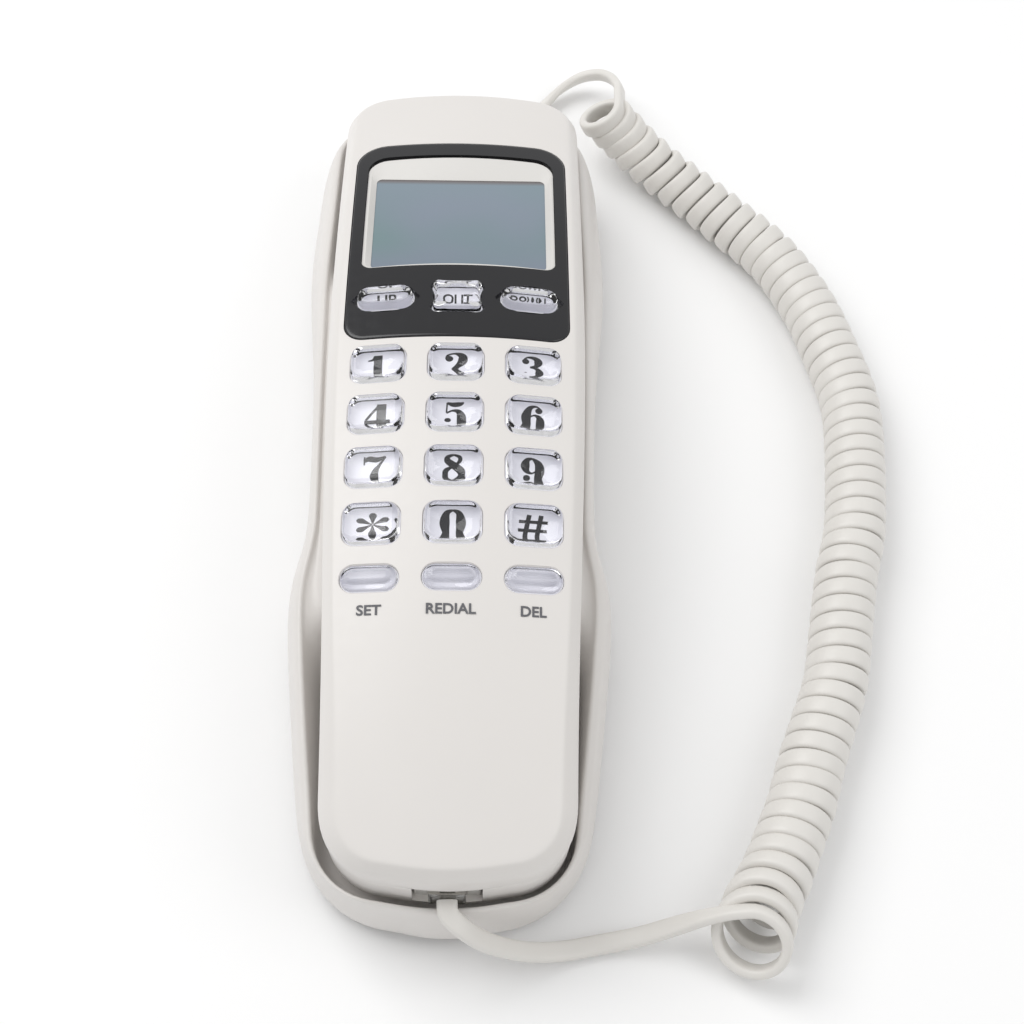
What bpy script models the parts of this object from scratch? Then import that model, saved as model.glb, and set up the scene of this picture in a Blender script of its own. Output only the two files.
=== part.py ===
"""Corded landline phone: a slim handset with keys and a display on its outer face,
lying in a desk and wall cradle, with a curly cord between the two.

Metres, +Z up. The phone lies along Y with its display end at +Y, stands on its feet at Z = 0,
and X = 0 is the cradle's plane of symmetry.
"""
import math

import bmesh
import bpy
from mathutils import Matrix, Vector

for old in list(bpy.data.objects):
    bpy.data.objects.remove(old, do_unlink=True)

MM = 0.001
GAP = 0.3 * MM                      # clearance between neighbouring pieces

# Handset
HANDSET_SEAT_X = 0.8 * MM           # the handset lies a little towards the cradle's right wall
HANDSET_BOTTOM_Y = -106.7 * MM
HANDSET_TOP_Y = 106.8 * MM
HANDSET_HALF_WIDTH_TOP = 29.3 * MM
HANDSET_HALF_WIDTH_BOTTOM = 26.3 * MM
HANDSET_TAPER = (-95 * MM, 30 * MM)  # the width changes between these two stations
FACE_HEIGHT = 52 * MM               # highest point of the face above the table
FACE_RADIUS_ALONG = 315 * MM
FACE_RADIUS_ACROSS = 127 * MM
SEAM_DROP = 8.0 * MM                # seam between the two covers, below the face's centre line
BEVEL_IN = 2.3 * MM
BEVEL_DROP = 3.3 * MM
COVER_WALL = 2.0 * MM
MOUTH_UNDERSIDE = 12 * MM           # underside heights: mouthpiece, grip, earpiece
GRIP_UNDERSIDE = 31 * MM
EAR_UNDERSIDE = 17.5 * MM
MOUTH_STEP = (-60 * MM, -38 * MM)
EAR_STEP = (40 * MM, 62 * MM)

# Keys
COLUMN_PITCH = 17.26 * MM
ROW_PITCH = 13.45 * MM
FIRST_ROW_Y = 6.1 * MM
FUNCTION_ROW_Y = -46.6 * MM
BEZEL_ROW_Y = 25.3 * MM
BEZEL_COLUMN = 16.4 * MM
DIGIT_KEY = (12.0 * MM, 9.1 * MM, 2.6 * MM)      # width, height, corner radius
FUNCTION_KEY = (12.0 * MM, 5.4 * MM, 2.65 * MM)
ARROW_KEY = (12.7 * MM, 5.7 * MM, 2.8 * MM)
OUT_KEY = (11.2 * MM, 7.7 * MM, 1.6 * MM)
KEY_PROUD = 1.8 * MM
KEY_TRAVEL = 1.2 * MM
KEY_FLANGE_TOP = -3.0 * MM
KEY_FLANGE_BOTTOM = -4.2 * MM
KEY_FLANGE_WIDTH = 0.7 * MM
KEY_HOLE_GAP = 0.35 * MM
MAT_DEPTH = 5.7 * MM
BOARD_BOTTOM = 35.6 * MM
BOARD_THICKNESS = 1.6 * MM

# Display
BEZEL_HALF_WIDTH = 25.5 * MM
BEZEL_Y = (13.5 * MM, 81.2 * MM)
BEZEL_THICKNESS = 2.0 * MM
BEZEL_CORNER = (4.6 * MM, 7.2 * MM)     # near the keys, near the top
WINDOW_HALF_WIDTH = 22.6 * MM
WINDOW_Y = (35.3 * MM, 76.0 * MM)
WINDOW_CORNER = (2.6 * MM, 4.8 * MM)
GLASS_HALF_WIDTH = 20.7 * MM
GLASS_Y = (35.7 * MM, 71.2 * MM)
GLASS_DEPTH = 3.2 * MM
GLASS_THICKNESS = 2.2 * MM

# Cradle
BASE_BOTTOM_Y = -109.2 * MM
BASE_TOP_Y = 109.5 * MM
SKIRT_Z = 2.6 * MM
WIDEST_Z = 9 * MM
BASE_WALL = 2.6 * MM
PLATE_Z = (3.0 * MM, 5.0 * MM)
FOOT_RADIUS = 5.5 * MM
FOOT_PLACES = [(sx * 24 * MM, y) for y in (-84 * MM, 78 * MM) for sx in (-1, 1)]
BASE_SCREW_PLACES = [(sx * 23.5 * MM, y) for y in (-26 * MM, 30 * MM) for sx in (-1, 1)]
KEYHOLE_PLACES = (-66 * MM, 60 * MM)
KEYHOLE_RADIUS = 4.2 * MM
KEYHOLE_NECK = 2.2 * MM
HANDSET_SCREW_PLACES = [(0.0, 98.6 * MM), (-18.0 * MM, -87 * MM), (18.0 * MM, -87 * MM)]
EAR_Y = 80 * MM
MOUTH_Y = -84 * MM

# Jacks and cord
PLUG_SIZE = (7.65 * MM, 11.3 * MM, 6.5 * MM)
HANDSET_PLUG_Z = 22.0 * MM
JACK_WINDOW = 14.4 * MM             # width of the opening round the handset's jack
BASE_JACK = (10 * MM, 9.8 * MM)     # X and Z of the handset cord's jack in the cradle's top end
LINE_JACK = (-13 * MM, 9.8 * MM)
HOOK_Y = 18 * MM
LEAD_RADIUS = 1.7 * MM
COIL_RADIUS = 7.2 * MM

# Half-width of the cradle's outline, and the gap and height of its rim, by station along Y
CRADLE_HALF_WIDTH = [(-110, 29.5), (-92, 31.0), (-79, 32.8), (-59, 35.0), (-42, 36.6), (-33, 36.4),
                     (-26, 34.4), (-19, 33.3), (1, 33.4), (23, 34.4), (40, 35.9), (55, 37.2),
                     (67, 37.2), (81, 36.4), (110, 35.4)]
RIM_GAP = [(-110, 0.9), (-92, 1.2), (-70, 3.0), (-50, 4.1), (-38, 3.9), (-30, 2.2), (-23, 1.2),
           (25, 1.2), (50, 1.7), (75, 1.3), (110, 1.1)]
RIM_HEIGHT = [(-110, 19.6), (-92, 20.4), (-70, 24.0), (-45, 28.2), (-33, 30.2), (-26, 31.2),
              (20, 31.2), (45, 30.0), (70, 27.0), (95, 22.5), (110, 21.0)]

# Cord routes, in millimetres
HANDSET_LEAD = [(0.8, -107.5, 22.0), (1.2, -109.8, 21.8), (4.2, -112.0, 19.6), (8.0, -112.9, 15.2),
                (12.8, -112.9, 10.6), (18.2, -112.3, 6.4), (24.8, -111.0, 3.2), (32.9, -109.2, 2.3),
                (41.3, -107.6, 3.6), (48.6, -105.8, 6.6), (56.3, -104.3, 10.7)]
BASE_LEAD = [(10.0, 109.9, 9.8), (10.3, 113.0, 9.0), (12.8, 118.5, 5.4), (17.5, 125.5, 2.8),
             (22.6, 132.4, 2.6), (27.4, 138.0, 3.6), (33.1, 140.9, 5.5), (38.4, 139.9, 7.8),
             (41.8, 136.2, 9.8), (43.3, 130.6, 12.2), (43.0, 123.75, 14.7)]
COIL_ROUTE = [(62.9, -112.2, 10.6), (66.0, -104.5, 8.8), (69.5, -97.4, 7.8), (73.4, -88.5, 7.3),
              (80.1, -69.8, 7.3), (87.4, -49.3, 7.3), (92.6, -21.2, 7.3), (97.3, 5.0, 7.3), (97.9, 28.3, 7.3),
              (92.6, 51.0, 7.3), (82.0, 74.1, 7.3), (66.5, 91.6, 7.3), (54.8, 104.2, 7.5), (49.2, 109.8, 8.4),
              (44.1, 114.1, 10.9), (37.5, 117.1, 16.6)]

COLOURS = {
    "shell": ((0.86, 0.85, 0.82), 0.35, 0.0),
    "dark": ((0.05, 0.05, 0.055), 0.25, 0.0),
    "cream": ((0.88, 0.87, 0.84), 0.45, 0.0),
    "glass": ((0.20, 0.30, 0.34), 0.1, 0.0),
    "clear": ((0.85, 0.86, 0.92), 0.08, 0.0),
    "rubber": ((0.12, 0.12, 0.12), 0.8, 0.0),
    "mat": ((0.75, 0.75, 0.8), 0.7, 0.0),
    "board": ((0.05, 0.25, 0.1), 0.5, 0.0),
    "metal": ((0.6, 0.6, 0.62), 0.35, 1.0),
    "cord": ((0.75, 0.73, 0.68), 0.5, 0.0),
}


def material(slot):
    """Principled material for a slot, made once."""
    found = bpy.data.materials.get(slot)
    if found:
        return found
    colour, roughness, metallic = COLOURS[slot]
    made = bpy.data.materials.new(slot)
    made.use_nodes = True
    shader = made.node_tree.nodes["Principled BSDF"]
    shader.inputs["Base Color"].default_value = (*colour, 1.0)
    shader.inputs["Roughness"].default_value = roughness
    shader.inputs["Metallic"].default_value = metallic
    return made


def add_object(name, verts, faces, slot, place=None):
    """Make a mesh object with its faces pointing out and smooth shading on its round parts."""
    mesh = bpy.data.meshes.new(name)
    mesh.from_pydata([tuple(v) for v in verts], [], faces)
    work = bmesh.new()
    work.from_mesh(mesh)
    bmesh.ops.remove_doubles(work, verts=work.verts, dist=1e-7)
    bmesh.ops.recalc_face_normals(work, faces=work.faces)
    bmesh.ops.triangulate(work, faces=work.faces)
    work.to_mesh(mesh)
    work.free()
    mesh.materials.append(material(slot))
    mesh.shade_smooth()
    mesh.set_sharp_from_angle(angle=math.radians(35))
    made = bpy.data.objects.new(name, mesh)
    bpy.context.scene.collection.objects.link(made)
    if place is not None:
        made.matrix_world = place
    return made


def cut(target, cutter, operation="DIFFERENCE"):
    """Boolean the target with a hidden guide object."""
    cutter.hide_render = True
    cutter.display_type = "WIRE"
    modifier = target.modifiers.new(operation.lower() + "_" + cutter.name, "BOOLEAN")
    modifier.operation = operation
    modifier.solver = "EXACT"
    modifier.object = cutter
    return modifier


def cut_together(target, name, cutters, operation="DIFFERENCE"):
    """Boolean the target once with several guide objects that don't touch each other."""
    work = bmesh.new()
    for cutter in cutters:
        part = cutter.data.copy()
        part.transform(cutter.matrix_world)
        work.from_mesh(part)
        bpy.data.objects.remove(cutter, do_unlink=True)
    mesh = bpy.data.meshes.new(name)
    work.to_mesh(mesh)
    work.free()
    joined = bpy.data.objects.new(name, mesh)
    bpy.context.scene.collection.objects.link(joined)
    return cut(target, joined, operation)


# ---------------------------------------------------------------- curves and outlines

def smoothstep(value):
    value = min(1.0, max(0.0, value))
    return value * value * (3 - 2 * value)


def stations(table):
    """Smooth curve through (y, value) stations given in millimetres; metres in, metres out."""
    def curve(y):
        y = y / MM
        if y <= table[0][0]:
            return table[0][1] * MM
        for k in range(len(table) - 1):
            (y0, v0), (y1, v1) = table[k], table[k + 1]
            if y <= y1:
                before = table[max(k - 1, 0)]
                after = table[min(k + 2, len(table) - 1)]
                span = y1 - y0
                m0 = (v1 - before[1]) / (y1 - before[0]) * span
                m1 = (after[1] - v0) / (after[0] - y0) * span
                t = (y - y0) / span
                t2, t3 = t * t, t * t * t
                return ((2 * t3 - 3 * t2 + 1) * v0 + (t3 - 2 * t2 + t) * m0
                        + (-2 * t3 + 3 * t2) * v1 + (t3 - t2) * m1) * MM
        return table[-1][1] * MM
    return curve


def smooth_route(points, step):
    """Points a step apart along a Catmull-Rom curve through the route's own points."""
    points = [Vector(p) for p in points]
    padded = [2 * points[0] - points[1]] + points + [2 * points[-1] - points[-2]]
    dense = []
    for k in range(1, len(padded) - 2):
        p0, p1, p2, p3 = padded[k - 1:k + 3]
        for i in range(20):
            t = i / 20
            dense.append(0.5 * (2 * p1 + (p2 - p0) * t + (2 * p0 - 5 * p1 + 4 * p2 - p3) * t * t
                                + (3 * p1 - p0 - 3 * p2 + p3) * t ** 3))
    dense.append(points[-1])
    lengths = [0.0]
    for a, b in zip(dense, dense[1:]):
        lengths.append(lengths[-1] + (b - a).length)
    count = max(2, round(lengths[-1] / step))
    route = []
    k = 0
    for i in range(count + 1):
        want = lengths[-1] * i / count
        while k < len(lengths) - 2 and lengths[k + 1] < want:
            k += 1
        part = (want - lengths[k]) / max(lengths[k + 1] - lengths[k], 1e-9)
        route.append(dense[k].lerp(dense[k + 1], min(1.0, part)))
    return route


def handset_half_width(y):
    low, high = HANDSET_TAPER
    part = smoothstep((y - low) / (high - low))
    return HANDSET_HALF_WIDTH_BOTTOM + (HANDSET_HALF_WIDTH_TOP - HANDSET_HALF_WIDTH_BOTTOM) * part


def face_z(x, y, drop=0.0):
    """Height of the handset's doubly curved face; x from the handset's own centre line."""
    return FACE_HEIGHT - x * x / (2 * FACE_RADIUS_ACROSS) - y * y / (2 * FACE_RADIUS_ALONG) - drop


def seam_z(y):
    return face_z(0, y, SEAM_DROP)


def underside_z(y):
    """Lower line of the handset: mouthpiece, raised grip, earpiece."""
    mouth = smoothstep((y - MOUTH_STEP[0]) / (MOUTH_STEP[1] - MOUTH_STEP[0]))
    ear = smoothstep((y - EAR_STEP[0]) / (EAR_STEP[1] - EAR_STEP[0]))
    height = MOUTH_UNDERSIDE + (GRIP_UNDERSIDE - MOUTH_UNDERSIDE) * mouth
    return height + (EAR_UNDERSIDE - GRIP_UNDERSIDE) * ear


def rounded_rows(half_width, y0, y1, corner0, corner1, middle, crown=(0.0, 0.0), arc=4):
    """Rows (y, half-width, end crown) of a long outline with rounded corners and bowed ends."""
    rows = []
    y0 += crown[0]
    y1 -= crown[1]
    for k in range(arc + 1):
        angle = math.pi / 2 * k / arc
        y = y0 + corner0 * (1 - math.cos(angle))
        rows.append((y, half_width(y) - corner0 * (1 - math.sin(angle)), -crown[0] * math.cos(angle)))
    straight = [y for y in middle if y0 + corner0 + 1e-4 < y < y1 - corner1 - 1e-4]
    rows += [(y, half_width(y), 0.0) for y in straight]
    for k in range(arc, -1, -1):
        angle = math.pi / 2 * k / arc
        y = y1 - corner1 * (1 - math.cos(angle))
        rows.append((y, half_width(y) - corner1 * (1 - math.sin(angle)), crown[1] * math.cos(angle)))
    return rows


def sheet_points(rows, columns, height, shift_x=0.0):
    """Grid of points over an outline; height is a function of x and y."""
    grid = []
    for y, half, crown in rows:
        line = []
        for c in range(columns + 1):
            u = 2 * c / columns - 1
            x = half * u
            bowed = y + crown * (1 - u * u)
            line.append(Vector((x + shift_x, bowed, height(x, bowed))))
        grid.append(line)
    return grid


def edge_loop(grid):
    """The boundary of a grid of points, once round."""
    loop = list(grid[0])
    loop += [row[-1] for row in grid[1:]]
    loop += list(reversed(grid[-1][:-1]))
    loop += [row[0] for row in reversed(grid[1:-1])]
    return loop


def loft(name, levels, slot, columns=6, shift_x=0.0):
    """Closed solid through levels of (rows, height); the first and last are whole sheets."""
    verts = []
    faces = []

    def add_sheet(grid):
        start = len(verts)
        wide = len(grid[0])
        for row in grid:
            verts.extend(row)
        for r in range(len(grid) - 1):
            for c in range(wide - 1):
                a = start + r * wide + c
                faces.append((a, a + 1, a + wide + 1, a + wide))
        index = [[start + r * wide + c for c in range(wide)] for r in range(len(grid))]
        loop = index[0] + [row[-1] for row in index[1:]]
        return loop + list(reversed(index[-1][:-1])) + [row[0] for row in reversed(index[1:-1])]

    loops = []
    for k, (rows, height) in enumerate(levels):
        grid = sheet_points(rows, columns, height, shift_x)
        if k in (0, len(levels) - 1):
            loops.append(add_sheet(grid))
        else:
            start = len(verts)
            ring = edge_loop(grid)
            verts.extend(ring)
            loops.append(list(range(start, start + len(ring))))
    for low, high in zip(loops, loops[1:]):
        count = len(low)
        for i in range(count):
            j = (i + 1) % count
            faces.append((low[i], low[j], high[j], high[i]))
    return add_object(name, verts, faces, slot)


def plate_outline(width, height, corner, arc=3, top_corner=None):
    """Rounded rectangle as (x, y) points, counter-clockwise from its right side."""
    points = []
    for sx, sy, start in ((1, -1, -90), (1, 1, 0), (-1, 1, 90), (-1, -1, 180)):
        radius = top_corner if sy > 0 and top_corner else corner
        for k in range(arc + 1):
            angle = math.radians(start + 90 * k / arc)
            points.append((sx * (width / 2 - radius) + radius * math.cos(angle),
                           sy * (height / 2 - radius) + radius * math.sin(angle)))
    return points


def stack(rings):
    """Vertices and faces of a solid through equal rings of points."""
    verts = [p for ring in rings for p in ring]
    count = len(rings[0])
    faces = [tuple(range(count))]
    for r in range(len(rings) - 1):
        for i in range(count):
            j = (i + 1) % count
            faces.append((r * count + i, r * count + j, (r + 1) * count + j, (r + 1) * count + i))
    faces.append(tuple(reversed(range((len(rings) - 1) * count, len(rings) * count))))
    return verts, faces


def prism(name, outline, z0, z1, slot, place=None, top_inset=0.0):
    """Upright prism on an outline, with an optional small top chamfer."""
    rings = [[(x, y, z0) for x, y in outline]]
    if top_inset:
        widest = max(x for x, _ in outline)
        deepest = max(y for _, y in outline)
        rings.append([(x, y, z1 - top_inset) for x, y in outline])
        rings.append([(x * (1 - top_inset / widest), y * (1 - top_inset / deepest), z1)
                      for x, y in outline])
    else:
        rings.append([(x, y, z1) for x, y in outline])
    verts, faces = stack(rings)
    return add_object(name, verts, faces, slot, place)


def block(name, low, high, slot, corner=0.4 * MM):
    """Rounded upright block between two corners."""
    width, depth = high[0] - low[0], high[1] - low[1]
    place = Matrix.Translation(((low[0] + high[0]) / 2, (low[1] + high[1]) / 2, 0))
    return prism(name, plate_outline(width, depth, corner, 2), low[2], high[2], slot, place)


def turned(name, profile, centre, slot, sides=20):
    """Solid of revolution about Z through (radius, z) points, from the axis round to the axis."""
    verts = []
    faces = []
    rings = []
    for radius, z in profile:
        if radius < 1e-9:
            verts.append((centre[0], centre[1], z))
            rings.append([len(verts) - 1] * sides)
            continue
        start = len(verts)
        for k in range(sides):
            angle = 2 * math.pi * k / sides
            verts.append((centre[0] + radius * math.cos(angle), centre[1] + radius * math.sin(angle), z))
        rings.append(list(range(start, start + sides)))
    for low, high in zip(rings, rings[1:]):
        for i in range(sides):
            j = (i + 1) % sides
            corners = [low[i], low[j], high[j], high[i]]
            unique = list(dict.fromkeys(corners))
            if len(unique) > 2:
                faces.append(tuple(unique))
    return add_object(name, verts, faces, slot)


def cylinder(name, centre, radius, z0, z1, slot="dark", sides=16):
    return turned(name, [(0, z0), (radius, z0), (radius, z1), (0, z1)], centre, slot, sides)


def tube(name, points, radius, slot="cord", resolution=2):
    """Plain round tube along a route: a poly curve with filled ends."""
    curve = bpy.data.curves.new(name, "CURVE")
    curve.dimensions = "3D"
    curve.resolution_u = 1
    curve.render_resolution_u = 0
    curve.bevel_depth = radius
    curve.bevel_resolution = resolution
    curve.use_fill_caps = True
    spline = curve.splines.new("POLY")
    spline.points.add(len(points) - 1)
    for slot_point, p in zip(spline.points, points):
        slot_point.co = (*p, 1.0)
    curve.materials.append(material(slot))
    made = bpy.data.objects.new(name, curve)
    bpy.context.scene.collection.objects.link(made)
    return made


# ---------------------------------------------------------------- handset shells

HANDSET_STATIONS = [k * 15 * MM for k in range(-5, 7)]
SHELL_STATIONS = [y * MM for y in (-80, -60, -54, -49, -44, -38, -22, 0, 20, 40, 45, 51, 57, 62, 78)]


def handset_rows(inset, corner_bottom=13.5 * MM, corner_top=11 * MM, middle=HANDSET_STATIONS):
    return rounded_rows(lambda y: handset_half_width(y) - inset, HANDSET_BOTTOM_Y + inset,
                        HANDSET_TOP_Y - inset, corner_bottom, corner_top, middle,
                        crown=(1.4 * MM, 0.7 * MM))


def make_front_cover():
    """Domed face with a bevel all round, hollow below, open for the bezel and the keys."""
    skin = lambda drop: (lambda x, y: face_z(x, y, drop))
    cover = loft("front_cover", [
        (handset_rows(0.1 * MM), lambda x, y: seam_z(y)),
        (handset_rows(0.0), skin(BEVEL_DROP)),
        (handset_rows(0.3 * MM, 13.2 * MM, 10.7 * MM), skin(2.5 * MM)),
        (handset_rows(BEVEL_IN - 0.4 * MM, 11.6 * MM, 9.2 * MM), skin(0.35 * MM)),
        (handset_rows(BEVEL_IN + 0.3 * MM, 10.9 * MM, 8.6 * MM), skin(0.0)),
    ], "shell", columns=4, shift_x=HANDSET_SEAT_X)
    hollow = loft("front_hollow", [
        (handset_rows(COVER_WALL), lambda x, y: seam_z(y) - 3 * MM),
        (handset_rows(COVER_WALL), skin(5.6 * MM)),
        (handset_rows(COVER_WALL + 1.2 * MM, 9 * MM, 8 * MM), skin(COVER_WALL)),
    ], "shell", columns=4, shift_x=HANDSET_SEAT_X)
    cut(cover, hollow)
    posts = [cylinder(f"cover_post_{k + 1}", (x + HANDSET_SEAT_X, y), 2.8 * MM,
                      underside_z(y) + 5.2 * MM, face_z(x, y, 0.8 * MM), "shell", 12)
             for k, (x, y) in enumerate(HANDSET_SCREW_PLACES)]
    cut_together(cover, "cover_posts", posts, "UNION")
    holes = [cylinder(f"cover_pilot_{k + 1}", (x + HANDSET_SEAT_X, y), 1.3 * MM,
                      underside_z(y) + 4 * MM, underside_z(y) + 14 * MM, "shell", 12)
             for k, (x, y) in enumerate(HANDSET_SCREW_PLACES)]
    holes.append(plate_prism("bezel_opening", bezel_outline(GAP), -6 * MM, 3 * MM))
    holes += [key_solid("hole_" + name, centre, size, hole=True) for name, centre, size in KEYPAD]
    cut_together(cover, "cover_holes", holes)
    return cover


def make_rear_cover():
    """Underside of the handset: mouthpiece and earpiece bulges with a grip between them."""
    cover = loft("rear_cover", [
        (handset_rows(5.5 * MM, 9.6 * MM, 9 * MM, SHELL_STATIONS), lambda x, y: underside_z(y)),
        (handset_rows(2.2 * MM, 12 * MM, 10 * MM, SHELL_STATIONS), lambda x, y: underside_z(y) + 1.6 * MM),
        (handset_rows(0.7 * MM, middle=SHELL_STATIONS), lambda x, y: underside_z(y) + 5.5 * MM),
        (handset_rows(0.25 * MM, middle=SHELL_STATIONS), lambda x, y: seam_z(y) - GAP),
    ], "shell", columns=4, shift_x=HANDSET_SEAT_X)
    hollow = loft("rear_hollow", [
        (handset_rows(6 * MM, 9 * MM, 8 * MM, SHELL_STATIONS), lambda x, y: underside_z(y) + 2 * MM),
        (handset_rows(2.9 * MM, 12 * MM, 9 * MM, SHELL_STATIONS), lambda x, y: underside_z(y) + 5.5 * MM),
        (handset_rows(2.2 * MM, 13 * MM, 9.5 * MM, SHELL_STATIONS), lambda x, y: seam_z(y) + 2 * MM),
    ], "shell", columns=4, shift_x=HANDSET_SEAT_X)
    cut(cover, hollow)
    seats = []
    holes = []
    for k, (x, y) in enumerate(HANDSET_SCREW_PLACES):
        floor = underside_z(y)
        centre = (x + HANDSET_SEAT_X, y)
        seats.append(cylinder(f"seat_{k + 1}", centre, 4.4 * MM, floor + 1 * MM, floor + 4.6 * MM, sides=12))
        holes.append(turned(f"sink_{k + 1}", [(0, floor - 1 * MM), (3.1 * MM, floor - 1 * MM),
                                              (3.1 * MM, floor + 2.2 * MM), (1.8 * MM, floor + 2.2 * MM),
                                              (1.8 * MM, floor + 6 * MM), (0, floor + 6 * MM)],
                            centre, "dark", 12))
    cut_together(cover, "screw_seats", seats, "UNION")
    holes.append(block("jack_window", (HANDSET_SEAT_X - JACK_WINDOW / 2, -109 * MM, 17.8 * MM),
                       (HANDSET_SEAT_X + JACK_WINDOW / 2, -103 * MM, 30 * MM), "dark", 0.2 * MM))
    for end, y in (("ear", EAR_Y), ("mouth", MOUTH_Y)):
        for k in (-1, 0, 1):
            spot = (HANDSET_SEAT_X + k * 3 * MM, y)
            floor = underside_z(y)
            holes.append(cylinder(f"{end}_sound_{k + 2}", spot, 0.9 * MM, floor - 1 * MM, floor + 4 * MM,
                                  sides=8))
    cut_together(cover, "rear_holes", holes)
    return cover


# ---------------------------------------------------------------- face-mounted pieces

def face_frame(x, y):
    """Matrix of the face's local frame at a point: X across, Y along, Z out of the face."""
    normal = Vector((x / FACE_RADIUS_ACROSS, y / FACE_RADIUS_ALONG, 1)).normalized()
    along = Vector((0, 1, -y / FACE_RADIUS_ALONG)).normalized()
    across = along.cross(normal).normalized()
    along = normal.cross(across)
    frame = Matrix((across, along, normal)).transposed().to_4x4()
    frame.translation = Vector((x + HANDSET_SEAT_X, y, face_z(x, y)))
    return frame


def key_solid(name, centre, size, hole=False):
    """Key cap with a flange below the cover, or the hole it stands in."""
    width, height, corner = size
    if hole:
        grow = KEY_HOLE_GAP
        outline = plate_outline(width + 2 * grow, height + 2 * grow, corner + grow)
        levels = [(outline, -7 * MM), (outline, 3 * MM)]
    else:
        stem = plate_outline(width, height, corner)
        flange = plate_outline(width + 2 * KEY_FLANGE_WIDTH, height + 2 * KEY_FLANGE_WIDTH,
                               corner + KEY_FLANGE_WIDTH)
        shoulder = plate_outline(width - 0.3 * MM, height - 0.3 * MM, corner - 0.1 * MM)
        crown = plate_outline(width - 1.8 * MM, height - 1.8 * MM, max(corner - 0.8 * MM, 0.8 * MM))
        levels = [(flange, KEY_FLANGE_BOTTOM), (flange, KEY_FLANGE_TOP), (stem, KEY_FLANGE_TOP),
                  (shoulder, KEY_PROUD - 0.6 * MM), (crown, KEY_PROUD)]
    verts, faces = stack([[(x, y, z) for x, y in outline] for outline, z in levels])
    return add_object(name, verts, faces, "clear", face_frame(*centre))


DIGITS = ["1", "2", "3", "4", "5", "6", "7", "8", "9", "star", "0", "hash"]
KEYPAD = [(f"key_{name}", ((k % 3 - 1) * COLUMN_PITCH, FIRST_ROW_Y - k // 3 * ROW_PITCH), DIGIT_KEY)
          for k, name in enumerate(DIGITS)]
KEYPAD += [(f"key_{name}", ((k - 1) * COLUMN_PITCH, FUNCTION_ROW_Y), FUNCTION_KEY)
           for k, name in enumerate(["set", "redial", "delete"])]
BEZEL_KEYS = [("key_up", (-BEZEL_COLUMN, BEZEL_ROW_Y), ARROW_KEY),
              ("key_out", (0.0, BEZEL_ROW_Y), OUT_KEY),
              ("key_down", (BEZEL_COLUMN, BEZEL_ROW_Y), ARROW_KEY)]


def bezel_outline(grow):
    return plate_outline(2 * (BEZEL_HALF_WIDTH + grow), BEZEL_Y[1] - BEZEL_Y[0] + 2 * grow,
                         BEZEL_CORNER[0] + grow, 4, BEZEL_CORNER[1] + grow)


def plate_prism(name, outline, depth0, depth1, y_centre=None, slot="dark"):
    """Flat-sided prism through the face, upright, around a centre on the face's centre line."""
    y_centre = (BEZEL_Y[0] + BEZEL_Y[1]) / 2 if y_centre is None else y_centre
    place = Matrix.Translation((HANDSET_SEAT_X, y_centre, 0))
    lowest = face_z(BEZEL_HALF_WIDTH, BEZEL_Y[1]) + depth0
    return prism(name, outline, lowest, FACE_HEIGHT + depth1, slot, place)


def bezel_rows(inset):
    middle = [BEZEL_Y[0] + k * 8 * MM for k in range(1, 9)]
    return rounded_rows(lambda y: BEZEL_HALF_WIDTH - inset, BEZEL_Y[0] + inset, BEZEL_Y[1] - inset,
                        BEZEL_CORNER[0] - inset, BEZEL_CORNER[1] - inset, middle, arc=4)


def make_bezel():
    """Glossy panel that follows the face, with the display window and three key holes."""
    bezel = loft("display_bezel", [
        (bezel_rows(0.0), lambda x, y: face_z(x, y, BEZEL_THICKNESS)),
        (bezel_rows(0.0), lambda x, y: face_z(x, y, 0.2 * MM)),
        (bezel_rows(0.4 * MM), lambda x, y: face_z(x, y, -0.15 * MM)),
    ], "dark", shift_x=HANDSET_SEAT_X)
    window = plate_outline(2 * WINDOW_HALF_WIDTH, WINDOW_Y[1] - WINDOW_Y[0], WINDOW_CORNER[0], 3, WINDOW_CORNER[1])
    cut(bezel, plate_prism("window_opening", window, -6 * MM, 3 * MM, sum(WINDOW_Y) / 2))
    holes = [key_solid("hole_" + name, centre, size, hole=True) for name, centre, size in BEZEL_KEYS]
    cut_together(bezel, "bezel_holes", holes)
    return bezel


def make_display():
    """Cream frame behind the window and the glass of the display inside it."""
    centre_y = sum(GLASS_Y) / 2
    frame = loft("display_frame", [
        (rounded_rows(lambda y: 23.8 * MM, 33.2 * MM, 77.6 * MM, 2 * MM, 2 * MM,
                      [k * 7 * MM for k in range(5, 11)], arc=3),
         lambda x, y: face_z(0, y, GLASS_DEPTH + GLASS_THICKNESS + 1.5 * MM)),
        (rounded_rows(lambda y: 23.8 * MM, 33.2 * MM, 77.6 * MM, 2 * MM, 2 * MM,
                      [k * 7 * MM for k in range(5, 11)], arc=3),
         lambda x, y: face_z(x, y, BEZEL_THICKNESS + GAP)),
    ], "cream", shift_x=HANDSET_SEAT_X)
    hole = plate_outline(2 * (GLASS_HALF_WIDTH + GAP), GLASS_Y[1] - GLASS_Y[0] + 2 * GAP, 1.2 * MM, 2)
    cut(frame, prism("glass_hole", hole, 30 * MM, 56 * MM, "dark",
                     Matrix.Translation((HANDSET_SEAT_X, centre_y, 0))))
    place = face_frame(0, centre_y)
    outline = plate_outline(2 * GLASS_HALF_WIDTH, GLASS_Y[1] - GLASS_Y[0] - 1.6 * MM, 1.0 * MM, 2)
    bow = (GLASS_Y[1] - GLASS_Y[0]) ** 2 / (8 * FACE_RADIUS_ALONG)
    top = -GLASS_DEPTH - bow
    prism("display_glass", outline, top - GLASS_THICKNESS, top, "glass", place)
    return frame


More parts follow.
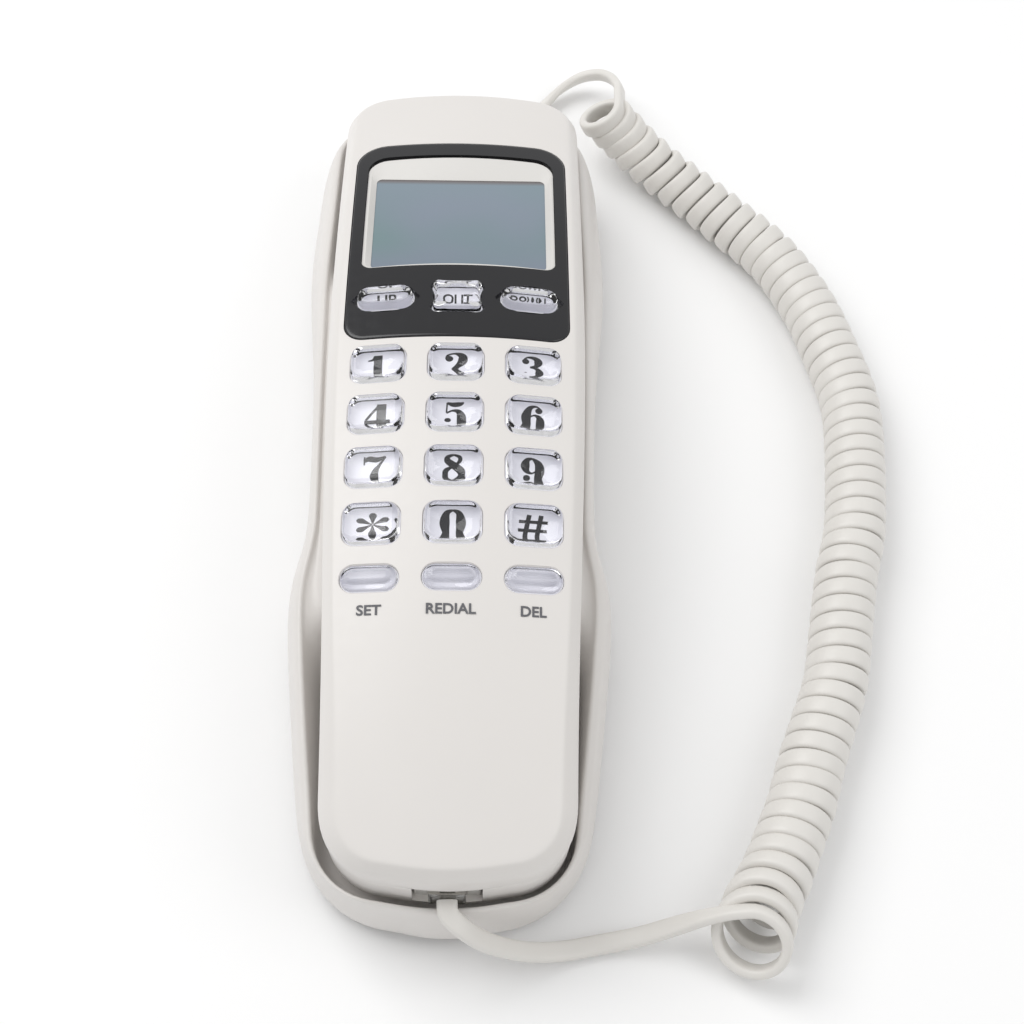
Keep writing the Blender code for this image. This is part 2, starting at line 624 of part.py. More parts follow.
def make_keypad_mat():
    """Rubber mat under the keys: its top follows the face, its underside lies on the board."""
    rows = rounded_rows(lambda y: 23 * MM, -55 * MM, 31 * MM, 2 * MM, 2 * MM,
                        [k * 14 * MM for k in range(-3, 3)], arc=2)
    top_of_board = BOARD_BOTTOM + BOARD_THICKNESS
    loft("keypad_mat", [
        (rows, lambda x, y: top_of_board + GAP),
        (rows, lambda x, y: face_z(x, y, MAT_DEPTH)),
    ], "mat", columns=4, shift_x=HANDSET_SEAT_X)
    block("handset_board", (HANDSET_SEAT_X - 22 * MM, -54 * MM, BOARD_BOTTOM),
          (HANDSET_SEAT_X + 22 * MM, 30 * MM, top_of_board), "board", 1 * MM)


def make_handset_inside():
    ear_floor = underside_z(EAR_Y) + 2.4 * MM
    turned("earpiece_speaker", [(0, ear_floor), (6 * MM, ear_floor), (12.8 * MM, ear_floor + 0.8 * MM),
                                (13.5 * MM, ear_floor + 2 * MM), (13.5 * MM, ear_floor + 3.4 * MM),
                                (9 * MM, ear_floor + 4.4 * MM), (9 * MM, ear_floor + 7.6 * MM),
                                (0, ear_floor + 7.6 * MM)], (HANDSET_SEAT_X, EAR_Y), "metal", 24)
    mouth_floor = underside_z(MOUTH_Y) + 2.4 * MM
    turned("microphone", [(0, mouth_floor), (4.4 * MM, mouth_floor), (4.85 * MM, mouth_floor + 0.5 * MM),
                          (4.85 * MM, mouth_floor + 6 * MM), (0, mouth_floor + 6 * MM)],
           (HANDSET_SEAT_X, MOUTH_Y), "metal", 16)
    block("handset_weight", (HANDSET_SEAT_X - 16 * MM, -79 * MM, 14.6 * MM),
          (HANDSET_SEAT_X + 16 * MM, -63 * MM, 19.6 * MM), "metal", 2 * MM)


def screw(name, x, y, head_z, head_radius, length):
    """Pan-head screw pointing up from its head."""
    rise = 1.3 * MM
    turned(name, [(0, head_z), (head_radius * 0.75, head_z), (head_radius, head_z + 0.6 * MM),
                  (head_radius, head_z + rise), (1.15 * MM, head_z + rise),
                  (1.0 * MM, head_z + rise + length), (0, head_z + rise + length + 0.8 * MM)],
           (x, y), "metal", 12)


# ---------------------------------------------------------------- jacks and plugs

def jack(name, centre_x, y_mouth, centre_z, size, depth, mouth, into):
    """Modular jack: a block with a socket that opens at y_mouth and runs towards into (+1 or -1)."""
    width, height = size
    y_back = y_mouth + into * depth
    low, high = min(y_mouth, y_back), max(y_mouth, y_back)
    body = block(name, (centre_x - width / 2, low, centre_z - height / 2),
                 (centre_x + width / 2, high, centre_z + height / 2), "dark")
    bore_end = y_mouth + into * (depth - 1.4 * MM)
    front = y_mouth - into * 1 * MM
    socket = block("socket_" + name, (centre_x - mouth[0] / 2, min(front, bore_end), centre_z - mouth[1] / 2),
                   (centre_x + mouth[0] / 2, max(front, bore_end), centre_z + mouth[1] / 2), "dark", 0.2 * MM)
    cut(body, socket)
    return body


def plug(name, centre_x, y_tail, centre_z, into):
    """Four-way modular plug with its latch tab, its tail flush at y_tail."""
    width, length, height = PLUG_SIZE
    nose = y_tail + into * length
    body = block(name, (centre_x - width / 2, min(y_tail, nose), centre_z - height / 2 + 1.2 * MM),
                 (centre_x + width / 2, max(y_tail, nose), centre_z + height / 2), "clear")
    tab_y = sorted((y_tail + into * 2 * MM, nose - into * 1 * MM))
    tab = block("tab_" + name, (centre_x - 1.6 * MM, tab_y[0], centre_z - height / 2),
                (centre_x + 1.6 * MM, tab_y[1], centre_z), "clear", 0.2 * MM)
    cut(body, tab, "UNION")
    return body


def make_jacks():
    jack("handset_jack", HANDSET_SEAT_X, -104.2 * MM, HANDSET_PLUG_Z, (13.8 * MM, 8.4 * MM), 12.6 * MM,
         (PLUG_SIZE[0] + 2 * GAP, PLUG_SIZE[2] + 2 * GAP), 1)
    plug("handset_plug", HANDSET_SEAT_X, HANDSET_BOTTOM_Y - 0.2 * MM, HANDSET_PLUG_Z, 1)
    jack("handset_cord_jack", BASE_JACK[0], 105.2 * MM, BASE_JACK[1], (12 * MM, 8.6 * MM), 13 * MM,
         (PLUG_SIZE[0] + 2 * GAP, PLUG_SIZE[2] + 2 * GAP), -1)
    plug("base_plug", BASE_JACK[0], BASE_TOP_Y - GAP, BASE_JACK[1], -1)
    jack("line_jack", LINE_JACK[0], 104.6 * MM, LINE_JACK[1], (14 * MM, 8.6 * MM), 13 * MM,
         (10.2 * MM, 6.9 * MM), -1)


# ---------------------------------------------------------------- cradle

cradle_half_width = stations(CRADLE_HALF_WIDTH)
rim_gap = stations(RIM_GAP)
rim_z = stations(RIM_HEIGHT)
CRADLE_STATIONS = [y * MM for y in (-79, -68, -60, -54, -49, -44, -38, -33, -29, -25, -20, -8, 8, 24,
                                    40, 45, 51, 57, 62, 74)]


def floor_z(y):
    return underside_z(y) - 0.6 * MM


def rim_inner(y):
    return handset_half_width(y) + rim_gap(y)


def rim_outer(y):
    return rim_inner(y) + 1.7 * MM


def blend_width(part):
    """Half-width between the cradle's widest line (0) and the outside of its rim (1)."""
    return lambda y: cradle_half_width(y) * (1 - part) + rim_outer(y) * part


def cradle_rows(half_width, bottom, top, corners):
    return rounded_rows(half_width, bottom, top, corners[0], corners[1], CRADLE_STATIONS,
                        crown=(1.4 * MM, 1.0 * MM))


def make_cradle():
    """Open tub: outer wall from the skirt up to the rim, then down inside to the handset's rest."""
    ends = BASE_BOTTOM_Y, BASE_TOP_Y
    rise = lambda part: (lambda x, y: WIDEST_Z + (rim_z(y) - WIDEST_Z) * part)
    edge_height = lambda x, y: min(floor_z(y) + 3 * MM, rim_z(y) - 0.5 * MM)
    shell = loft("cradle_shell", [
        (cradle_rows(lambda y: cradle_half_width(y) - 1.0 * MM, ends[0] + 0.8 * MM, ends[1] - 0.8 * MM,
                     (19 * MM, 19 * MM)), lambda x, y: SKIRT_Z),
        (cradle_rows(cradle_half_width, *ends, (20 * MM, 20 * MM)), lambda x, y: WIDEST_Z - 3 * MM),
        (cradle_rows(blend_width(0.1), *ends, (20 * MM, 20 * MM)), rise(0.35)),
        (cradle_rows(blend_width(0.45), ends[0] + 0.1 * MM, ends[1] - 0.2 * MM, (19 * MM, 18 * MM)), rise(0.75)),
        (cradle_rows(blend_width(0.85), ends[0] + 0.2 * MM, ends[1] - 0.4 * MM, (18 * MM, 15 * MM)), rise(0.95)),
        (cradle_rows(lambda y: rim_outer(y) - 0.7 * MM, -108.3 * MM, 108.6 * MM, (15.4 * MM, 13.4 * MM)), rise(1.0)),
        (cradle_rows(rim_inner, -107.5 * MM, 107.8 * MM, (14.4 * MM, 12.6 * MM)), rise(0.97)),
        (cradle_rows(lambda y: handset_half_width(y) + 0.8 * MM, -107.3 * MM, 107.4 * MM,
                     (13.6 * MM, 11 * MM)), edge_height),
        (cradle_rows(lambda y: handset_half_width(y) - 1.5 * MM, -105.2 * MM, 105.3 * MM,
                     (12 * MM, 9 * MM)), lambda x, y: floor_z(y)),
    ], "shell", columns=4)
    inside = lambda y: cradle_half_width(y) - BASE_WALL
    upper = lambda y: min(inside(y), handset_half_width(y) + 0.3 * MM)
    hollow = loft("cradle_hollow", [
        (cradle_rows(inside, ends[0] + BASE_WALL, ends[1] - BASE_WALL, (17 * MM, 17 * MM)), lambda x, y: 0.0),
        (cradle_rows(inside, ends[0] + BASE_WALL, ends[1] - BASE_WALL, (17 * MM, 17 * MM)),
         lambda x, y: 7 * MM),
        (cradle_rows(upper, ends[0] + BASE_WALL + 0.6 * MM, ends[1] - BASE_WALL, (15 * MM, 10 * MM)),
         lambda x, y: max(7.5 * MM, floor_z(y) - 6 * MM)),
        (cradle_rows(lambda y: handset_half_width(y) - 2.6 * MM, ends[0] + 5 * MM, ends[1] - BASE_WALL - 0.4 * MM,
                     (13 * MM, 9 * MM)), lambda x, y: floor_z(y) - 2.4 * MM),
    ], "shell", columns=4)
    cut(shell, hollow)
    posts = [cylinder(f"base_post_{k + 1}", place, 3.2 * MM, PLATE_Z[1] + GAP, floor_z(place[1]) - 1 * MM,
                      "shell", 12) for k, place in enumerate(BASE_SCREW_PLACES)]
    cut_together(shell, "base_posts", posts, "UNION")
    holes = [cylinder(f"base_pilot_{k + 1}", place, 1.4 * MM, 4 * MM, 14 * MM, "shell", 12)
             for k, place in enumerate(BASE_SCREW_PLACES)]
    holes.append(block("hook_slot", (-3.9 * MM, HOOK_Y - 3.1 * MM, 20 * MM),
                       (3.9 * MM, HOOK_Y + 3.1 * MM, 40 * MM), "dark", 0.5 * MM))
    for name, centre, width, height in (("cord_mouth", BASE_JACK, 8.6 * MM, 7.4 * MM),
                                        ("line_mouth", LINE_JACK, 10.6 * MM, 7.3 * MM)):
        holes.append(block(name, (centre[0] - width / 2, 104 * MM, centre[1] - height / 2),
                           (centre[0] + width / 2, 113 * MM, centre[1] + height / 2), "dark", 0.2 * MM))
    cut_together(shell, "shell_holes", holes)
    return shell


def keyhole_outline(y):
    """Round hole for a screw's head with a narrow slot above it for its shank, as (x, y) points."""
    start = math.asin(KEYHOLE_NECK / KEYHOLE_RADIUS)
    turn = 2 * math.pi - 2 * start
    points = []
    for k in range(13):
        angle = math.pi / 2 + start + turn * k / 12
        points.append((KEYHOLE_RADIUS * math.cos(angle), y + KEYHOLE_RADIUS * math.sin(angle)))
    for k in range(7):
        angle = math.pi * k / 6
        points.append((KEYHOLE_NECK * math.cos(angle), y + 8 * MM + KEYHOLE_NECK * math.sin(angle)))
    return points


def make_base_plate():
    """Plate that closes the cradle from below, with screw holes and two wall-hanging keyholes."""
    inside = lambda y: cradle_half_width(y) - BASE_WALL - 0.4 * MM
    ends = BASE_BOTTOM_Y + BASE_WALL + 0.4 * MM, BASE_TOP_Y - BASE_WALL - 0.4 * MM
    rows = cradle_rows(inside, *ends, (17 * MM, 17 * MM))
    outline = [(p.x, p.y) for p in edge_loop(sheet_points(rows, 4, lambda x, y: 0.0))]
    plate = prism("base_plate", outline, *PLATE_Z, "shell")
    holes = [cylinder(f"plate_hole_{k + 1}", place, 1.8 * MM, 2 * MM, 6 * MM, "shell", 12)
             for k, place in enumerate(BASE_SCREW_PLACES)]
    for k, y in enumerate(KEYHOLE_PLACES):
        outline = keyhole_outline(y)
        holes.append(prism(f"keyhole_{k + 1}", outline, 2 * MM, 6 * MM, "shell"))
    cut_together(plate, "plate_holes", holes)
    return plate


def make_base_inside():
    block("base_board", (-18 * MM, -34 * MM, 8 * MM), (18 * MM, 36 * MM, 9.6 * MM), "board", 1 * MM)
    block("hook_switch", (-6.4 * MM, HOOK_Y - 3.2 * MM, 9.9 * MM), (6.4 * MM, HOOK_Y + 3.2 * MM, 15.7 * MM), "dark")
    plunger = block("hook_plunger", (-3.5 * MM, HOOK_Y - 2.7 * MM, 16 * MM),
                    (3.5 * MM, HOOK_Y + 2.7 * MM, GRIP_UNDERSIDE - 0.35 * MM), "shell", 0.8 * MM)
    flange = block("plunger_flange", (-5.6 * MM, HOOK_Y - 4.6 * MM, 21.8 * MM),
                   (5.6 * MM, HOOK_Y + 4.6 * MM, 23.4 * MM), "shell", 0.8 * MM)
    cut(plunger, flange, "UNION")
    turned("ringer", [(0, 9.9 * MM), (11 * MM, 9.9 * MM), (11.4 * MM, 10.4 * MM), (11.4 * MM, 14.6 * MM),
                      (10.8 * MM, 15.4 * MM), (2 * MM, 15.4 * MM), (2 * MM, 14 * MM), (0, 14 * MM)],
           (0, -14 * MM), "dark", 24)
    for k, (x, y) in enumerate(FOOT_PLACES):
        top = PLATE_Z[0] - GAP
        turned(f"foot_{k + 1}", [(0, 0), (FOOT_RADIUS - 0.8 * MM, 0), (FOOT_RADIUS, 0.8 * MM),
                                 (FOOT_RADIUS, top), (0, top)], (x, y), "rubber", 16)
    for k, (x, y) in enumerate(BASE_SCREW_PLACES):
        screw(f"base_screw_{k + 1}", x, y, 1.2 * MM, 2.7 * MM, 8 * MM)


def make_cord():
    """Curly cord: a lead at each end and one solid of the coil's outer shape."""
    tube("handset_lead", smooth_route([Vector(p) * MM for p in HANDSET_LEAD], 3.2 * MM), LEAD_RADIUS)
    tube("base_lead", smooth_route([Vector(p) * MM for p in BASE_LEAD], 3.2 * MM), LEAD_RADIUS)
    tube("cord_coil", smooth_route([Vector(p) * MM for p in COIL_ROUTE], 9 * MM), COIL_RADIUS, resolution=3)


make_front_cover()
make_rear_cover()
make_bezel()
make_display()
make_keypad_mat()
for key_name, key_centre, key_size in KEYPAD + BEZEL_KEYS:
    key_solid(key_name, key_centre, key_size)
make_handset_inside()
for index, (screw_x, screw_y) in enumerate(HANDSET_SCREW_PLACES):
    screw(f"handset_screw_{index + 1}", screw_x + HANDSET_SEAT_X, screw_y,
          underside_z(screw_y) + 0.6 * MM, 2.7 * MM, 9 * MM)
make_jacks()
make_cradle()
make_base_plate()
make_base_inside()
make_cord()
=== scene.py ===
import math

import bmesh
import bpy
from mathutils import Matrix, Vector


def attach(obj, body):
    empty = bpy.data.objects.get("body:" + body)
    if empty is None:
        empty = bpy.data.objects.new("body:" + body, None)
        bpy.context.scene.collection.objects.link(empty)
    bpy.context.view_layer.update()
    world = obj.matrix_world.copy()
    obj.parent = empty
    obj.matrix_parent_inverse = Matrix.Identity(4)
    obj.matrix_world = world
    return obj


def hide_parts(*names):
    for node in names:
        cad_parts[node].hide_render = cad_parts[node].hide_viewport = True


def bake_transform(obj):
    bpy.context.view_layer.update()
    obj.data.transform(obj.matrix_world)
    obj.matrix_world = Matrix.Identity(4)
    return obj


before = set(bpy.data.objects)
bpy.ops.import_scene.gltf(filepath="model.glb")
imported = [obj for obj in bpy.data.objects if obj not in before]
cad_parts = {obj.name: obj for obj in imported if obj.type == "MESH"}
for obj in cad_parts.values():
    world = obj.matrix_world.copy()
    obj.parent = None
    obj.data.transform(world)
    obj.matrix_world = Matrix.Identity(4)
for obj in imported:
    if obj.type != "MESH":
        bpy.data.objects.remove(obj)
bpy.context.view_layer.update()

MM = 0.001

# Handset
SEAT_X = 0.8 * MM
HANDSET_BOTTOM_Y = -106.7 * MM
HANDSET_TOP_Y = 106.8 * MM
HALF_WIDTH_TOP = 29.3 * MM
HALF_WIDTH_BOTTOM = 26.3 * MM
TAPER = (-95 * MM, 30 * MM)
FACE_HEIGHT = 52 * MM
FACE_RADIUS_ALONG = 315 * MM
FACE_RADIUS_ACROSS = 127 * MM
SEAM_DROP = 8.0 * MM
SEAM_GAP = 0.3 * MM
BEVEL_DROP = 3.3 * MM
COVER_WALL = 2.0 * MM
MOUTH_UNDERSIDE = 12 * MM
GRIP_UNDERSIDE = 31 * MM
EAR_UNDERSIDE = 17.5 * MM
MOUTH_STEP = (-60 * MM, -38 * MM)
EAR_STEP = (40 * MM, 62 * MM)
EAR_Y = 80 * MM
MOUTH_Y = -84 * MM
JACK_WINDOW = 14.4 * MM
HANDSET_SCREW_PLACES = [(0.0, 98.6 * MM), (-18.0 * MM, -87 * MM), (18.0 * MM, -87 * MM)]

# Keys
COLUMN_PITCH = 17.26 * MM
ROW_PITCH = 13.45 * MM
FIRST_ROW_Y = 6.1 * MM
FUNCTION_ROW_Y = -46.6 * MM
BEZEL_ROW_Y = 25.3 * MM
BEZEL_COLUMN = 16.4 * MM
DIGIT_KEY = (12.0 * MM, 9.1 * MM, 2.6 * MM)
FUNCTION_KEY = (12.0 * MM, 5.4 * MM, 2.65 * MM)
ARROW_KEY = (12.7 * MM, 5.7 * MM, 2.8 * MM)
OUT_KEY = (11.2 * MM, 7.7 * MM, 1.6 * MM)
KEY_PROUD = 1.8 * MM
KEY_BOTTOM = -4.2 * MM
KEY_HOLE_GAP = 0.35 * MM
LEGEND_Y = -53.6 * MM
NUMERAL_RISE = 0.64 * MM
NUMERAL_UNIT = 0.62 * MM
INK_DEPTH = (0.085 * MM, 0.035 * MM)
INK_STEP = 0.002 * MM
INK_THICKNESS = 0.05 * MM
DOT_SIDES = 20

# Display
BEZEL_HALF_WIDTH = 25.5 * MM
BEZEL_Y = (13.5 * MM, 81.2 * MM)
BEZEL_THICKNESS = 2.0 * MM
BEZEL_GAP = 0.12 * MM
BEZEL_CORNER = (4.6 * MM, 7.2 * MM)
WINDOW_HALF_WIDTH = 22.6 * MM
WINDOW_Y = (35.3 * MM, 76.0 * MM)
WINDOW_CORNER = (2.6 * MM, 4.8 * MM)
GLASS_HALF_WIDTH = 20.7 * MM
GLASS_Y = (35.7 * MM, 71.2 * MM)
GLASS_DEPTH = 3.2 * MM
GLASS_THICKNESS = 2.2 * MM

# Cradle
BASE_BOTTOM_Y = -109.2 * MM
BASE_TOP_Y = 109.5 * MM
SKIRT_Z = 2.6 * MM
WIDEST_Z = 9 * MM
BASE_WALL = 2.6 * MM
BASE_JACK = (10 * MM, 9.8 * MM)
LINE_JACK = (-13 * MM, 9.8 * MM)
HOOK_Y = 18 * MM
CRADLE_HALF_WIDTH = [(-110, 29.5), (-92, 31.0), (-79, 32.8), (-59, 35.0), (-42, 36.6), (-33, 36.4),
                     (-26, 34.4), (-19, 33.3), (1, 33.4), (23, 34.4), (40, 35.9), (55, 37.2),
                     (67, 37.2), (81, 36.4), (110, 35.4)]
RIM_GAP = [(-110, 0.9), (-92, 1.2), (-70, 3.0), (-50, 4.1), (-38, 3.9), (-30, 2.2), (-23, 1.2),
           (25, 1.2), (50, 1.7), (75, 1.3), (110, 1.1)]
RIM_HEIGHT = [(-110, 19.6), (-92, 20.4), (-70, 24.0), (-45, 28.2), (-33, 30.2), (-26, 31.2),
              (20, 31.2), (45, 30.0), (70, 27.0), (95, 22.5), (110, 21.0)]

# Curly cord, in millimetres: a flat cord wound into rings, with a lead at each end
CORD_WIDTH = 4.3
CORD_THICKNESS = 2.3
LEAD_STEP = 1.1
TURN_STEPS = 40
CORD_SIDES = 16
COIL_RADIUS = 7.3
COIL_LIFT = 0.4
RING_SPACING = 4.55
RING_SPREAD = 0.9
CORD_EXIT = (0.8, -107.1, 22.0)
HANDSET_LEAD = [CORD_EXIT, (1.2, -109.8, 21.8), (4.2, -112.0, 19.6), (8.0, -112.9, 15.2),
                (12.8, -112.9, 10.6), (18.2, -112.3, 6.4), (24.8, -111.0, 3.2), (32.9, -109.2, 2.3),
                (41.3, -107.9, 3.8), (49.3, -106.6, 7.6), (55.0, -106.2, 11.6), (60.5, -106.3, 14.9)]
BASE_LEAD = [(43.2, 126.2, 14.6), (43.3, 130.6, 12.2), (41.8, 136.2, 9.8), (38.4, 139.9, 7.8),
             (33.1, 140.9, 5.5), (27.4, 138.0, 3.6), (22.6, 132.4, 2.6), (17.5, 125.5, 2.8),
             (12.8, 118.5, 5.4), (10.3, 113.0, 9.0), (10.0, 109.9, 9.8)]
# Ring centre X, Y, Z, lean of its axis in degrees, and outer radius; handset's end, then base's end
FIRST_RINGS = [(62.9, -112.2, 10.6, -48, 9.1), (65.0, -107.0, 9.2, -38, 8.6), (67.0, -102.0, 8.8, -29, 8.2),
               (69.5, -97.4, 8.6, -21, 7.9), (71.6, -92.9, 8.5, -14, 7.7), (73.4, -88.5, 8.3, -8, 7.6)]
LAST_RINGS = [(54.8, 104.2, 7.3, 36, 6.9), (51.0, 108.0, 7.9, 40, 6.9), (47.4, 111.4, 9.0, 45, 6.9),
              (44.1, 114.1, 10.9, 50, 6.9), (40.8, 115.9, 13.5, 57, 7.0), (37.5, 117.1, 16.6, 65, 7.0)]
MIDDLE_ROUTE = [(76.9, -80.0), (80.1, -69.8), (84.0, -59.3), (87.4, -49.3), (90.1, -34.6), (92.6, -21.2),
                (95.7, -8.8), (97.8, 12.7), (97.9, 28.3), (94.5, 43.8), (90.1, 58.3), (82.0, 74.1),
                (70.7, 87.0), (59.5, 99.2)]


# Camera and studio
CAMERA_PLACE = (7.48 * MM, -234.3 * MM, 374.4 * MM)
CAMERA_TURN = (1.6435, 58.0, 2.0356)        # yaw, pitch down and roll in degrees
CAMERA_LENS = 63.71
FLOOR_COLOUR = (0.93, 0.93, 0.93)
FLOOR_REACH = 6.0
FLOOR_DROP = 0.05 * MM
SKY_STRENGTH = 0.66


# ---------------------------------------------------------------- camera

def make_camera():
    yaw, pitch, roll = (math.radians(angle) for angle in CAMERA_TURN)
    ahead = Vector((math.sin(yaw) * math.cos(pitch), math.cos(yaw) * math.cos(pitch), -math.sin(pitch)))
    level = Vector((math.cos(yaw), -math.sin(yaw), 0))
    over = level.cross(ahead)
    right = math.cos(roll) * level + math.sin(roll) * over
    up = -math.sin(roll) * level + math.cos(roll) * over
    data = bpy.data.cameras.new("camera")
    data.lens = CAMERA_LENS
    data.sensor_width = 36
    data.clip_start = 0.01
    camera = bpy.data.objects.new("camera", data)
    camera.matrix_world = (Matrix.Translation(CAMERA_PLACE)
                           @ Matrix((right, up, -ahead)).transposed().to_4x4())
    bpy.context.scene.collection.objects.link(camera)
    bpy.context.scene.camera = camera


# ---------------------------------------------------------------- curves and outlines

def smoothstep(value):
    value = min(1.0, max(0.0, value))
    return value * value * (3 - 2 * value)


def catmull(p0, p1, p2, p3, t):
    return 0.5 * (2 * p1 + (p2 - p0) * t + (2 * p0 - 5 * p1 + 4 * p2 - p3) * t * t
                  + (3 * p1 - p0 - 3 * p2 + p3) * t ** 3)


def stations(table):
    """Smooth curve through (y, value) stations given in millimetres; metres in, metres out."""
    def curve(y):
        y = y / MM
        if y <= table[0][0]:
            return table[0][1] * MM
        for k in range(len(table) - 1):
            (y0, v0), (y1, v1) = table[k], table[k + 1]
            if y <= y1:
                before = table[max(k - 1, 0)]
                after = table[min(k + 2, len(table) - 1)]
                span = y1 - y0
                m0 = (v1 - before[1]) / (y1 - before[0]) * span
                m1 = (after[1] - v0) / (after[0] - y0) * span
                t = (y - y0) / span
                t2, t3 = t * t, t * t * t
                return ((2 * t3 - 3 * t2 + 1) * v0 + (t3 - 2 * t2 + t) * m0
                        + (-2 * t3 + 3 * t2) * v1 + (t3 - t2) * m1) * MM
        return table[-1][1] * MM
    return curve


ROUTE_STEPS = 24


def dense_route(points):
    """Closely spaced points of a Catmull-Rom curve through points, with the length up to each."""
    padded = [2 * points[0] - points[1]] + points + [2 * points[-1] - points[-2]]
    dense = [catmull(*padded[k - 1:k + 3], i / ROUTE_STEPS) for k in range(1, len(padded) - 2)
             for i in range(ROUTE_STEPS)] + [points[-1]]
    lengths = [0.0]
    for a, b in zip(dense, dense[1:]):
        lengths.append(lengths[-1] + (b - a).length)
    return dense, lengths


def at_length(dense, lengths, want):
    k = 0
    while k < len(lengths) - 2 and lengths[k + 1] < want:
        k += 1
    part = (want - lengths[k]) / max(lengths[k + 1] - lengths[k], 1e-9)
    return dense[k].lerp(dense[k + 1], min(1.0, max(0.0, part)))


# ---------------------------------------------------------------- cord

def all_rings():
    """Every ring of the coil from the handset's end: centre, lean and outer radius, in millimetres."""
    route = [Vector((x, y, 0)) for x, y in MIDDLE_ROUTE]
    start, end = FIRST_RINGS[-1], LAST_RINGS[0]
    route = [Vector((start[0], start[1], 0))] + route + [Vector((end[0], end[1], 0))]
    dense, lengths = dense_route(route)
    spots = [0.0]
    while spots[-1] < lengths[-1]:
        part = spots[-1] / lengths[-1]
        spots.append(spots[-1] + RING_SPACING + RING_SPREAD * smoothstep((part - 0.62) / 0.38))
    fit = lengths[-1] / spots[-1]
    middle = []
    count = len(spots) - 1
    for k in range(1, count):
        centre = at_length(dense, lengths, spots[k] * fit)
        left = count - k
        lean = start[3] * max(0.0, 1 - k / 4) + end[3] * max(0.0, 1 - left / 14) ** 1.3
        part = k / count
        radius = start[4] + (COIL_RADIUS - start[4]) * smoothstep(part * 5)
        radius += (end[4] - COIL_RADIUS) * smoothstep((part - 0.55) / 0.45)
        tilt = math.radians(abs(lean))
        height = radius * math.cos(tilt) + CORD_WIDTH / 2 * math.sin(tilt) + COIL_LIFT
        middle.append((centre.x, centre.y, height, lean, radius))
    return FIRST_RINGS + middle + LAST_RINGS


def coil_frames(rings):
    """Position and width direction at a turn count, as functions of the rings."""
    rows = [Vector(r[:3]) for r in rings]
    rows = [2 * rows[0] - rows[1]] + rows + [2 * rows[-1] - rows[-2]] + [3 * rows[-1] - 2 * rows[-2]]
    extra = [Vector((r[3], r[4], 0)) for r in rings]
    extra = [extra[0]] + extra + [extra[-1], extra[-1]]

    def at(turn):
        k = min(int(turn), len(rings) - 1)
        t = turn - k
        centre = catmull(*rows[k:k + 4], t) if k + 4 <= len(rows) else rows[k + 1]
        ahead = catmull(*rows[k:k + 4], t + 0.02) - catmull(*rows[k:k + 4], t - 0.02)
        lean, radius, _ = extra[k + 1].lerp(extra[k + 2], t)
        level = Vector((ahead.x, ahead.y, 0)).normalized()
        lean = math.radians(lean)
        axis = level * math.cos(lean) + Vector((0, 0, math.sin(lean)))
        over = level * -math.sin(lean) + Vector((0, 0, math.cos(lean)))
        side = over.cross(axis)
        angle = math.pi / 2 + 2 * math.pi * turn
        reach = radius - CORD_THICKNESS / 2
        return centre + reach * (math.cos(angle) * side + math.sin(angle) * over), axis
    return at


def flat_width(ahead):
    """Width direction of a flat cord lying flat while it runs ahead."""
    return Vector((0, 0, 1)).cross(ahead).normalized()


def turn_between(a, b, axis):
    """Signed angle from a to b around axis."""
    return math.atan2(a.cross(b).dot(axis), a.dot(b))


def direction(path, k):
    return (path[min(k + 1, len(path) - 1)] - path[max(k - 1, 0)]).normalized()


def lead_widths(path, twist_of):
    """Width directions along a lead; twist_of gives the turn away from flat at a share of its length."""
    widths = []
    for k in range(len(path)):
        ahead = direction(path, k)
        widths.append(Matrix.Rotation(twist_of(k / (len(path) - 1)), 3, ahead) @ flat_width(ahead))
    return widths


